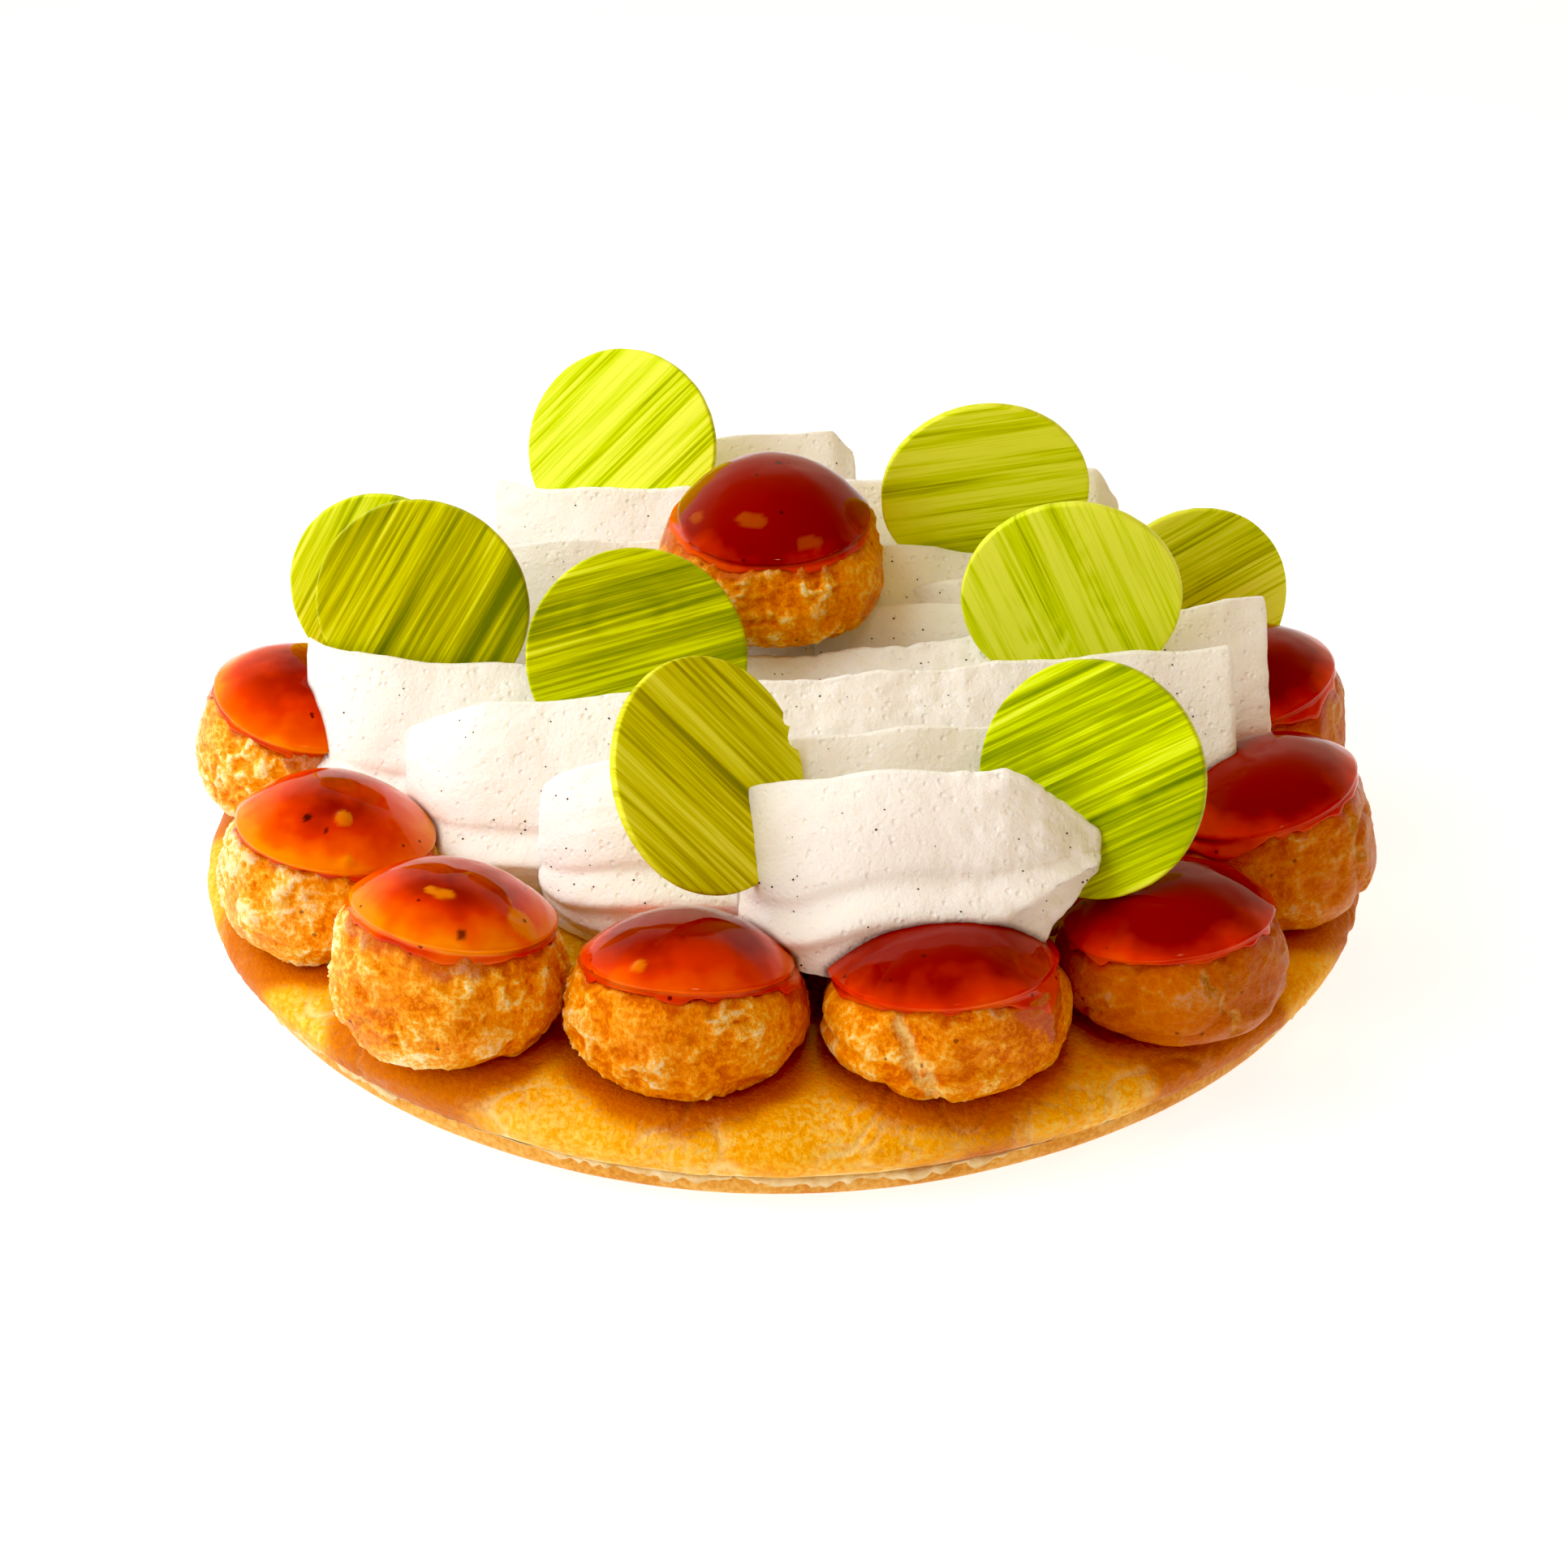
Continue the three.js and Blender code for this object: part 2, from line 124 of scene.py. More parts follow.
# Crust of the puffs: heights of the crumbs, the lumps and the folds, and how brown or pale single puffs are
CRUMBLY = {"crumb": 1.3, "lump": 0.45, "fold": 0.15}
SMOOTH = {"crumb": 0.5, "lump": 0.6, "fold": 0.8}
SMOOTH_PUFFS = ("02", "03", "04", "05", "07", "09")
# How much darker single puffs are: their own browning, and painted shade on the puffs to the right
TOAST_AND_PAINTED_SHADE = {"centre": 0.12, "01": 0.12, "02": 0.1, "03": 0.8, "04": 0.6, "05": 0.6, "06": 0.3, "07": 0.4,
         "09": 0.3}
# Painted light that makes the puffs on the left paler
LEFT_PUFFS_PAINTED_LIGHT = {"11": 0.2, "12": 0.22, "13": 0.08}
CRUMB_SIZES = [(3.4, 0.55), (1.8, 0.45)]
CRUMB_MIDDLE = 0.4
CRUMB_WARP = (0.9, 2.6)
RIDGE_WIDTH = 0.55
CRUMB_PATCH = (7.0, -0.35, 0.25)
CRUMB_PATCH_LEAST = 0.35
LUMP_SIZE = 9.0
FOLD_SIZE = 11.0
FOLD_WIDTH = 0.16
# Lightness of the crust, painted light: its plain ground, painted highlights that crumbs over a level and
# lumps add, and painted shade in folds
CRUST_PAINTED_LIGHT = {"plain": 0.3, "crumb_level": 0.3, "lump": 0.15, "fold": -0.25}

# Cracks of single puffs: bearing and share of the height at each end, half width, depth, paleness
CRACKS = {
    "02": [((-45, 0.85), (-22, 0.05), 1.5, 1.1, 1.0)],
    "03": [((-30, 0.8), (-14, 0.2), 1.1, 0.9, 0.5)],
    "04": [((-20, 0.9), (-12, 0.1), 1.0, 0.9, 0.4)],
    "13": [((-24, 0.12), (6, 0.42), 0.7, 0.9, 0.35)],
}
CRACK_WANDER = (1.3, 1.8, 2, 41)
CRACK_EDGE = (0.3, 1.0)

# Caramel that has soaked into the pastry: least depth, and depth, size and level of its runs and drips
SOAK_LEAST = 0.5
SOAK_RUNS = [(5.0, 6.0, 0.1), (2.0, 1.5, 0.0)]
SOAK_EDGE_BUMPS = [(0.8, 1.6, 52)]
SOAK_EDGE = (-0.8, 0.8)
NOISE_CIRCLE = 10.0
SOAK_LEVEL_STEP = 3.0

# Caps: points and bumps, and the lip below the rim, a share of the soaked depth in steps (share, thickness)
CAP_AROUND = 144
CAP_RIM_STEPS = 6
CAP_DOME_STEPS = 30
CAP_MIDDLE = 0.02
CAP_SPACING = 0.8
CAP_BUMPS = [(0.12, 6.0, 0), (0.05, 2.4, 1)]
LIP_SHARE = 0.5
LIP_STEPS = [(0.0, -0.8), (0.0, -0.1), (0.15, 0.15), (0.4, 0.15), (0.75, 0.25)]
LIP_DEPTH = 0.45

# Marks in single caps: bearing, reach from the middle, half sizes along and across the bearing, and strength.
# Bubbles have a bearing, a reach and a radius.
AMBER_MARKS = {
    "13": [(92, 14.0, 3.6, 2.3, 0.9), (24, 8.7, 1.1, 2.1, 0.8)],
    "centre": [(-16, 12.3, 1.0, 2.2, 0.2), (25, 15.4, 0.8, 2.6, 0.2), (-64, 14.6, 0.8, 1.5, 0.2)],
}
DARK_MARKS = {
    "12": [(40, 10.0, 0.7, 0.5, 0.9), (60, 11.4, 0.45, 0.45, 0.9)],
    "13": [(46, 15.0, 0.7, 0.8, 0.8)],
    "centre": [(144, 1.3, 0.5, 0.8, 0.9)],
}
MARK_BUMPS = [(0.45, 1.6, 42)]
MARK_EDGE = (0.75, 1.1)
DARK_CAPS = {"centre": 0.75, "10": -0.1, "11": -0.1, "12": -0.1, "13": -0.05,
             "01": 0.2, "02": 0.45, "03": 0.5, "04": 0.5, "05": 0.5}
BUBBLES = {"12": [(73, 9.0, 1.45), (75, 15.6, 0.9)], "01": [(-18, 14.6, 1.0)]}
BUBBLE_HEIGHT = 0.5
BUBBLE_AMBER = 0.7

# Cream strokes, as in the solids: ends of the crest, bow, drop of each end, depth of the face. The bead is
# at one share of the face at the start of a stroke and at another share some millimetres on. rough is the
# stretch of torn cream. A face is towards the front, or towards the back where facing is -1.
STROKES = [
    {"from": (-7.4, -64, 51), "to": (48.7, -62, 52), "bow": 2.5, "start": 6, "end": 9, "foot": 15,
     "floor": 25.3, "taper": 0.8, "hangs": True, "rough": (26, 60), "bead": (0.85, 0.6, 16)},
    {"from": (-39.6, -47, 46), "to": (44, -40, 50.5), "bow": 0.8, "start": 10.5, "end": 1, "foot": 17,
     "floor": 22.5, "bead": (0.84, 0.74, 8)},
    {"from": (-64, -27, 44), "to": (74.6, -17, 51.5), "bow": 0.6, "start": 8, "end": 0, "foot": 20,
     "rough": (2, 36)},
    {"from": (-82.8, -10, 45), "to": (83.5, 2, 52), "bow": -5.5, "start": -0.5, "end": 0, "foot": 18,
     "rough": (-4, 45)},
    {"from": (-4, 8.5, 45.2), "to": (58, 9, 47), "bow": 0.3, "start": 3, "end": 2, "foot": 12},
    {"from": (2, 14.5, 42.5), "to": (58, 15.5, 51), "bow": 0.6, "start": 2, "end": 3, "foot": 12},
    {"from": (-62, 17, 53), "to": (46, 22.5, 49), "bow": 3, "start": 6.5, "end": 2, "foot": 20},
    {"from": (-54.5, 40, 53), "to": (62.4, 44, 57.5), "bow": -0.3, "start": 1, "end": 6, "foot": 20,
     "back": 8},
    {"from": (-45, 57, 52), "to": (13.6, 61, 58), "bow": 1, "start": 6.5, "end": 5, "foot": 18, "back": 6},
    {"from": (-37, 68, 46), "to": (47, 63, 41), "bow": 1, "start": 8, "end": 5, "foot": 15, "back": 8,
     "facing": -1},
]
STROKE_COMMON = {"taper": 0, "back": 5.0, "floor": 24.0, "hangs": False, "rough": None, "facing": 1,
                 "bead": (0.87, 0.87, 1)}
ROOT_FLOOR = BED["top"] + GAP
ROOT_INSET = 1.5
START_LENGTH = 7.0
START_CURL = 10.0
CURL_LENGTH = 10.0
START_TUCK = 0.5
TUCK_LENGTH = 6.0
END_LENGTH = 5.0
TAPER_LENGTH = 16.0
TAPER_POWER = 1.5
RIPPLE = 0.35
RIPPLE_TURN = 0.3
CREST_HALF = 0.6
CREST_ROUND = 0.3
BACK_POWER = 0.74
FACE_POWER = 1.3
BEAD_SPREAD = 0.085
BEAD_DEPTH = 2.2
GROOVE_OVER = 0.13
GROOVE_SPREAD = 0.045
GROOVE_DEPTH = 1.0
STATION_STEP = 0.65
SECTION = {
    "face": np.linspace(0, 1, 46),
    "root": np.linspace(0, 1, 7)[1:],
    "floor": np.linspace(0, 1, 6)[1:],
    "back": np.linspace(0, 1, 14)[-2::-1],
    "crest": np.linspace(0, 1, 6)[1:-1],
}
END_ROUND = 1.0
END_STATIONS = np.array([0.0, 0.25, 0.6])
END_FACE_SHARES = (0.25, 0.6, 0.9)

# Relief of the cream: bumps, drag lines along the stroke, and ridges and crumbs where it is torn
CREAM_BUMPS = [(0.45, 15.0, 0), (0.16, 5.0, 1), (0.12, 1.7, 3)]
DRAG_BUMPS = [(0.1, 2.2, 2)]
DRAG_STRETCH = (0.08, 1, 1)
ROUGH_FADE = 5.0
ROUGH_STRETCH = (0.6, 1, 1)
RIDGE_HEIGHT = 0.5
RIDGE_LEVEL = 0.3
RIDGE_NOISE = (2.0, 43)
ROUGH_BUMPS = [(0.22, 1.3, 44)]

# Painted shade on the cream where it touches a cap: its edges above a cap, under it and at its rim, and its
# strength
TOUCH_SPAN = (-0.3, 1.1)
TOUCH_UNDER = (-4.0, -2.0)
TOUCH_RIM = (1.0, 1.04)
TOUCH_SHARE = 0.8

# Vanilla: stations left free at the ends, stations for each speck, steps of the face, half sizes
SPECK_CLEAR = 8
SPECK_STATIONS = 3
SPECK_STEPS = (2, 44)
SPECK_HALF = (0.12, 0.26)

# Chocolate discs: centre, turn, lean, slope of the streaks on the face in degrees, lightness (partly painted
# light) and warmth
DISC_RADIUS = 18.6
DISC_THICKNESS = 1.6
DISC_AROUND = 144
DISC_FLAT = np.array([0.1, 0.3, 0.5, 0.65, 0.78, 0.87, 0.93, 0.965])
BEVEL = 0.3
BEVEL_STEPS = 8
DISC_RIM_BUMPS = [(0.004, 3.0, 211), (0.003, 0.9, 212)]
# Paler rim of the discs, partly a painted highlight along the edge: where it sets in, and its strength
DISC_RIM_HIGHLIGHT_SPAN = (DISC_RADIUS - 0.35, DISC_RADIUS - 0.02)
DISC_RIM_HIGHLIGHT_SHARE = 0.3
STREAKS_APART = 40.0
DISCS = [
    ((-30.3, 48.8, 59.1), -18.8, 24.6, 50, 0.34, 0.0),
    ((-72, 23.5, 41.8), -12, 8, 62, 0.2, 0.1),
    ((-62.2, -0.8, 51.4), -5.4, 12.1, 60, 0.02, 0.35),
    ((-24.7, -16.2, 49.3), 1, 18.4, 15, 0.06, 0.15),
    ((-11.5, -58, 51), 48, 30, 118, 0.22, 0.5),
    ((35.8, 24, 61.3), 1.9, -10, 9, 0.36, 0.15),
    ((48.6, -7, 56), -4.5, -6, 115, 0.38, 0.0),
    ((47.4, -57, 49.7), -29.6, 21.6, 38, 0.08, 0.0),
    ((75.4, 30.5, 36), 13, 6, 25, 0.36, 0.1),
]
# Bands of single discs: place across the streaks, half width, lightness, and the stretch along the streaks
BANDS = {
    3: [(-12.5, 3.2, -0.2, -20, 20)],
    4: [(11.5, 1.6, -0.18, -20, 20), (7.0, 1.0, -0.12, -8, 20), (-12, 1.2, -0.1, -20, 20)],
    6: [(-8.5, 1.5, -0.15, -4, 20), (-13, 1.2, -0.12, -20, 20)],
    7: [(10.0, 0.8, 0.35, -20, 4), (4.5, 0.6, 0.35, -20, -5), (-5.0, 0.9, -0.12, -20, 20)],
    8: [(-6.0, 1.3, -0.12, -20, 20), (6.5, 1.6, -0.1, -20, 20)],
    9: [(4.0, 1.6, -0.14, -20, 20)],
}
BAND_FADE = 4.0
# Bites out of the rim of single discs: bearing on the face and radius
CHIPS = {5: [(-4, 1.7), (6, 1.1)]}

# Pale flake between the layers of the base: its reach, the patches where it hangs, its depth and section
SEAM_AROUND = 900
SEAM_REACH = 98.7
SEAM_REACH_BUMPS = [(0.35, 3.0, 63)]
SEAM_BUMPS = [(1.1, 3.0, 61), (0.8, 1.1, 62)]
SEAM_PATCH = (24.0, -0.5, 0.3, 64)
SEAM_DEPTH = 0.9
SEAM_LIMITS = (0.1, 2.2)
SEAM_INSET = 2.0
SEAM_TUCK = 0.5
SEAM_EDGE = 0.2

# Camera of the photograph, in its frame of 1932 pixels
CAMERA_DISTANCE = 480.0
CAMERA_ELEVATION = 30.5
CAMERA_AIM = (0.0, 0.0, 15.3)
FOCAL_PIXELS = 3300.0
FRAME_PIXELS = 1932.0
SENSOR = 36.0

# Lamps: a broad key on the left, a broad one at the front left and a small one for glints, each with its
# place, size, power, tint and whether glossy things mirror it
LAMPS = [
    ("key", (-330.0, -10.0, 380.0), 500.0, 2.0, "#f6fbff", False),
    ("front", (-420.0, -300.0, 200.0), 400.0, 0.8, "#f8fcff", False),
    ("glint", (40.0, -190.0, 340.0), 30.0, 0.05, "#ffffff", True),
]
# Surroundings and the directions between which they change, and a floor that glows
WORLD_DIM = (0.66, 0.38, 0.14, 1.0)
WORLD_BRIGHT = (0.9, 0.81, 0.6, 1.0)
WORLD_ABOVE = (0.52, 0.47, 0.35, 1.0)
WORLD_RIGHT = (0.25, 0.16, 0.07, 1.0)
WORLD_LEFT = (0.36, 0.36, 0.36, 1.0)
BEHIND_SPAN = (0.0, 0.12)
ABOVE_SPAN = (0.4, 0.8)
RIGHT_SPAN = (0.2, 0.8)
LEFT_SPAN = (-0.2, -0.55)
FLOOR_HALF = 40000.0
FLOOR_GLOW = 0.78
BLACK_LEVEL = 0.012


# Noise that is the same in every run

HASH_PRIMES = np.array([0x9E3779B1, 0x85EBCA77, 0xC2B2AE3D], dtype=np.uint32)
HASH_SEED_STEP = 2654435
HASH_SEED_START = 97
HASH_ROUNDS = [(15, 0x2C1B3C6D), (12, 0x297A2D39)]
HASH_LAST_SHIFT = 15


def cell_random(cells, seed):
    """One number from 0 to 1 for each whole-numbered cell."""
    mixed = (cells.astype(np.uint32) * HASH_PRIMES).sum(axis=-1, dtype=np.uint32)
    mixed = mixed + np.uint32(seed * HASH_SEED_STEP + HASH_SEED_START)
    for shift, factor in HASH_ROUNDS:
        mixed = (mixed ^ (mixed >> np.uint32(shift))) * np.uint32(factor)
    mixed = mixed ^ (mixed >> np.uint32(HASH_LAST_SHIFT))
    return mixed / 2.0**32


def smoothstep(low, high, value):
    share = np.clip((value - low) / (high - low), 0, 1)
    return share * share * (3 - 2 * share)


def smooth_noise(points, size, seed):
    """Soft bumps of about one size across, from -1 to 1."""
    scaled = points / size
    base = np.floor(scaled)
    fade = smoothstep(0, 1, scaled - base)
    base = base.astype(np.int64)
    total = np.zeros(points.shape[:-1])
    for corner in itertools.product((0, 1), repeat=3):
        weight = np.where(np.array(corner), fade, 1 - fade).prod(axis=-1)
        total += weight * cell_random(base + np.array(corner), seed)
    return 2 * total - 1


def bump_sum(points, bumps, first=0):
    """Sum of soft bumps, given as (height, size, seed), with seeds counted from a first one."""
    return sum(height * smooth_noise(points, size, first + seed) for height, size, seed in bumps)


def creases(points, size, seed, width):
    """Thin winding lines, 1 in the middle of a line and 0 away from it."""
    return np.clip(1 - np.abs(smooth_noise(points, size, seed)) / width, 0, 1)


def patch_shares(points, size, low, high, seed):
    """1 in soft patches of about one size, and 0 between them."""
    return smoothstep(low, high, smooth_noise(points, size, seed))


def wander(points, reach, size, count, seed):
    """Shifts of points in their first few directions."""
    return reach * np.stack([smooth_noise(points, size, seed + k) for k in range(count)], axis=-1)


def within(value, start, end, fade):
    """1 from a start to an end, and 0 elsewhere."""
    return smoothstep(start - fade, start + fade, value) * (1 - smoothstep(end - fade, end + fade, value))


def wave_sum(waves, around, number, t):
    """Sum of waves, given as (height, bumps around, turn for each number, twist up the height)."""
    return sum(size * np.sin(bumps * around + turn * number + twist * t)
               for size, bumps, turn, twist in waves)


# Meshes from rings of points

def full_turn(count):
    return np.linspace(0, 2 * math.pi, count, endpoint=False)


def polar(radius, around):
    return radius * np.cos(around), radius * np.sin(around)


def circle_points(around, radius, level):
    x, y = polar(radius, around)
    return np.stack([x, y, np.broadcast_to(level, x.shape)], axis=-1)


def turned(x, y, degrees):
    """Coordinates turned about the origin from x towards y."""
    turn = math.radians(degrees)
    return x * math.cos(turn) - y * math.sin(turn), x * math.sin(turn) + y * math.cos(turn)


def with_zero(places):
    """Places on a plane as points in space."""
    return np.concatenate([places, np.zeros_like(places[..., :1])], axis=-1)


def ring_normals(rings):
    """Outward normals of rings of points, given from the first end of a piece to the last."""
    along = np.gradient(rings, axis=0)
    across = np.roll(rings, -1, axis=1) - np.roll(rings, 1, axis=1)
    normals = np.cross(across, along)
    return normals / np.maximum(np.linalg.norm(normals, axis=-1, keepdims=True), 1e-9)


def raised(rings, height):
    """Rings of points moved outwards."""
    return rings + ring_normals(rings) * height[..., None]


def ring_quads(count, around):
    i, j = np.meshgrid(np.arange(count - 1), np.arange(around), indexing="ij")
    a = i * around + j
    b = i * around + (j + 1) % around
    return np.stack([a, b, b + around, a + around], axis=-1).reshape(-1, 4).tolist()


def shell_faces(count, around):
    """Quads between rings, and a fan to a middle point at each end."""
    first, last = count * around, count * around + 1
    top = (count - 1) * around
    fans = []
    for k in range(around):
        following = (k + 1) % around
        fans.append([first, following, k])
        fans.append([last, top + k, top + following])
    return ring_quads(count, around) + fans


def shell_values(values):
    """Values on rings, and the means of the end rings for the middle points."""
    flat = values.reshape(-1, *values.shape[2:])
    return np.concatenate([flat, values[0].mean(axis=0)[None], values[-1].mean(axis=0)[None]])


def add_object(name, data):
    thing = bpy.data.objects.new(name, data)
    bpy.context.scene.collection.objects.link(thing)
    return thing


def add_mesh(name, points, faces, fields, material):
    mesh = bpy.data.meshes.new(name)
    mesh.from_pydata((points * MM).tolist(), [], faces)
    for field, values in fields.items():
        kind = "FLOAT_VECTOR" if values.ndim == 2 else "FLOAT"
        key = "vector" if values.ndim == 2 else "value"
        store = mesh.attributes.new(field, kind, "POINT")
        store.data.foreach_set(key, values.astype(np.float32).ravel())
    mesh.polygons.foreach_set("use_smooth", [True] * len(mesh.polygons))
    mesh.materials.append(material)
    mesh.update()
    return add_object(name, mesh)


def add_shell(name, rings, fields, material, node):
    """A closed piece from rings of points, standing for a node of the frame."""
    faces = shell_faces(rings.shape[0], rings.shape[1])
    shell_fields = {field: shell_values(values) for field, values in fields.items()}
    piece = add_mesh(name, shell_values(rings), faces, shell_fields, material)
    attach(piece, "root")
    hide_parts(node)


def add_loose(name, points, faces, material):
    """A piece that stands for no node of the frame."""
    piece = add_mesh(name, points, faces, {}, material)
    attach(piece, "root")


# Node trees of the materials

def colour(code):
    """Linear colour of a hexadecimal code."""
    shares = [int(code[i:i + 2], 16) / 255 for i in (1, 3, 5)]
    linear = [s / 12.92 if s <= 0.04045 else ((s + 0.055) / 1.055) ** 2.4 for s in shares]
    return (*linear, 1.0)


def plug(tree, value, socket):
    if isinstance(value, bpy.types.NodeSocket):
        tree.links.new(value, socket)
    else:
        socket.default_value = value


def new_material(name, **constants):
    """A material whose shader holds the constants, with _ for a space in a socket's name."""
    material = bpy.data.materials.new(name)
    material.use_nodes = True
    shader = material.node_tree.nodes["Principled BSDF"]
    for key, value in constants.items():
        shader.inputs[key.replace("_", " ")].default_value = value
    return material, material.node_tree, shader


def add_node(tree, kind, inputs, **settings):
    """A node with its settings and the values or links of its inputs."""
    node = tree.nodes.new("ShaderNode" + kind)
    for key, value in settings.items():
        setattr(node, key, value)
    for key, value in inputs.items():
        plug(tree, value, node.inputs[key])
    return node


def place_in(tree):
    return add_node(tree, "TexCoord", {}).outputs["Object"]


def field_in(tree, name, output="Fac"):
    return add_node(tree, "Attribute", {}, attribute_name=name).outputs[output]


def noise_in(tree, where, size, detail=2.0, roughness=0.5):
    """Noise with bumps of about one size, in millimetres."""
    inputs = {"Vector": where, "Scale": 1 / (size * MM), "Detail": detail, "Roughness": roughness}
    return add_node(tree, "TexNoise", inputs).outputs[0]


def spots_in(tree, where, size):
    """Distance to the nearest of scattered points, as a share of their spacing in millimetres."""
    node = add_node(tree, "TexVoronoi", {"Vector": where, "Scale": 1 / (size * MM)})
    return node.outputs["Distance"], node.outputs["Color"]


def stretch(tree, where, scale):
    return add_node(tree, "VectorMath", {0: where, 1: scale}, operation="MULTIPLY").outputs[0]


def calc(tree, operation, first, second):
    return add_node(tree, "Math", {0: first, 1: second}, operation=operation).outputs[0]


def remap(tree, value, span, to=(0.0, 1.0)):
    """Value taken smoothly from one span to another."""
    inputs = {"Value": value, "From Min": span[0], "From Max": span[1], "To Min": to[0], "To Max": to[1]}
    return add_node(tree, "MapRange", inputs, interpolation_type="SMOOTHSTEP").outputs["Result"]


def mix(tree, factor, first, second):
    return add_node(tree, "Mix", {0: factor, 6: first, 7: second}, data_type="RGBA").outputs[2]


def tinted(tree, share, ground, code):
    """A colour laid over a ground."""
    return mix(tree, share, ground, colour(code))


def ramp(tree, factor, stops):
    """Colours at places from 0 to 1."""
    node = add_node(tree, "ValToRGB", {"Fac": factor})
    bar = node.color_ramp.elements
    while len(bar) < len(stops):
        bar.new(1.0)
    for element, (place, code) in zip(bar, stops):
        element.position = place
        element.color = colour(code)
    return node.outputs["Color"]


def specks_in(tree, where, strength):
    """Small spots, at some of many scattered points."""
    distance, pick = spots_in(tree, where, 3.2)
    spot = remap(tree, distance, (0.09, 0.14), (1.0, 0.0))
    chosen = calc(tree, "MULTIPLY", spot, remap(tree, pick, (0.6, 0.65)))
    return calc(tree, "MULTIPLY", chosen, strength)


def bump_in(tree, shader, height, distance):
    """Fine relief, distance deep in millimetres."""
    node = add_node(tree, "Bump", {"Height": height, "Strength": 1.0, "Distance": distance * MM})
    plug(tree, node.outputs["Normal"], shader.inputs["Normal"])


# Materials

def choux_material():
    material, tree, shader = new_material(
        "choux", Roughness=0.3, Specular_IOR_Level=0.15, Coat_Roughness=0.12, Subsurface_Weight=0.1,
        Subsurface_Scale=0.002, Subsurface_Radius=(1.0, 0.35, 0.08))
    where = place_in(tree)
    patches = noise_in(tree, where, 9.0, detail=3.0)
    grain = noise_in(tree, where, 0.9, detail=3.0, roughness=0.65)
    # The relief field is the crust's lightness: painted highlights on crumbs and lumps, painted shade in
    # folds
    tone = calc(tree, "ADD", field_in(tree, "relief"), remap(tree, grain, (0.35, 0.65), (-0.22, 0.22)))
    crust = ramp(tree, tone, [(0.0, "#d86804"), (0.25, "#f08a0e"), (0.5, "#faa220"), (0.75, "#ffca58"),
                              (1.0, "#ffeab0")])
    browned = tinted(tree, remap(tree, patches, (0.45, 0.7), (0.0, 0.35)), crust, "#d87008")
    # Darker single puffs: browning, and on the puffs to the right painted shade
    toasted_and_shaded = tinted(tree, field_in(tree, "toast_and_painted_shade"), browned, "#b85804")
    flesh = ramp(tree, grain, [(0.35, "#e8a43c"), (0.6, "#fdda8a")])
    opened = mix(tree, field_in(tree, "flesh"), toasted_and_shaded, flesh)
    soak = field_in(tree, "soak")
    soaked = tinted(tree, calc(tree, "MULTIPLY", soak, 0.75), opened, "#bc3e02")
    specked = tinted(tree, specks_in(tree, where, 0.7), soaked, "#6c2a08")
    plug(tree, specked, shader.inputs["Base Color"])
    plug(tree, calc(tree, "MULTIPLY", soak, 0.35), shader.inputs["Coat Weight"])
    bump_in(tree, shader, noise_in(tree, where, 0.9, detail=4.0, roughness=0.65), 0.6)
    return material


def base_material(name, stops, bump):
    """Baked crust with a fine grain, pale cracks, and painted shade round the feet of the puffs."""
    material, tree, shader = new_material(
        name, Roughness=0.45, Specular_IOR_Level=0.12, Subsurface_Weight=0.1, Subsurface_Scale=0.002,
        Subsurface_Radius=(1.0, 0.4, 0.1))
    where = place_in(tree)
    broad = noise_in(tree, where, 16.0, detail=4.0, roughness=0.55)
    grain = noise_in(tree, where, 1.0, detail=3.0, roughness=0.6)
    crust = ramp(tree, calc(tree, "ADD", broad, remap(tree, grain, (0.3, 0.7), (-0.2, 0.2))), stops)
    cracked = tinted(tree, field_in(tree, "crack"), crust, "#fde49c")
    # Painted shade round the feet of the puffs, darkening the crust to brown
    painted_contact_shade = calc(tree, "ADD", field_in(tree, "painted_contact_shade"), remap(tree, grain, (0.3, 0.7), (-0.15, 0.15)))
    contact_shaded = tinted(tree, remap(tree, painted_contact_shade, (0.05, 0.95), (0.0, 0.9)), cracked, "#c05a04")
    plug(tree, contact_shaded, shader.inputs["Base Color"])
    bump_in(tree, shader, noise_in(tree, where, 0.9, detail=4.0, roughness=0.6), bump)
    return material


def caramel_material():
    material, tree, shader = new_material(
        "caramel", Roughness=0.06, IOR=1.5, Specular_IOR_Level=0.2, Subsurface_Weight=0.25,
        Subsurface_Scale=0.004, Subsurface_Radius=(1.0, 0.12, 0.02))
    where = place_in(tree)
    clouds = noise_in(tree, where, 11.0, detail=3.0)
    depth = calc(tree, "ADD", field_in(tree, "depth"), remap(tree, clouds, (0.3, 0.7), (-0.2, 0.2)))
    body = ramp(tree, depth, [(0.0, "#f08408"), (0.22, "#ea5e04"), (0.55, "#d03202"), (1.0, "#860a01")])
    amber = tinted(tree, calc(tree, "MULTIPLY", field_in(tree, "amber"), 0.85), body, "#e88a14")
    dark = calc(tree, "MAXIMUM", specks_in(tree, where, 0.8), field_in(tree, "dark"))
    plug(tree, tinted(tree, dark, amber, "#3a0d05"), shader.inputs["Base Color"])
    return material


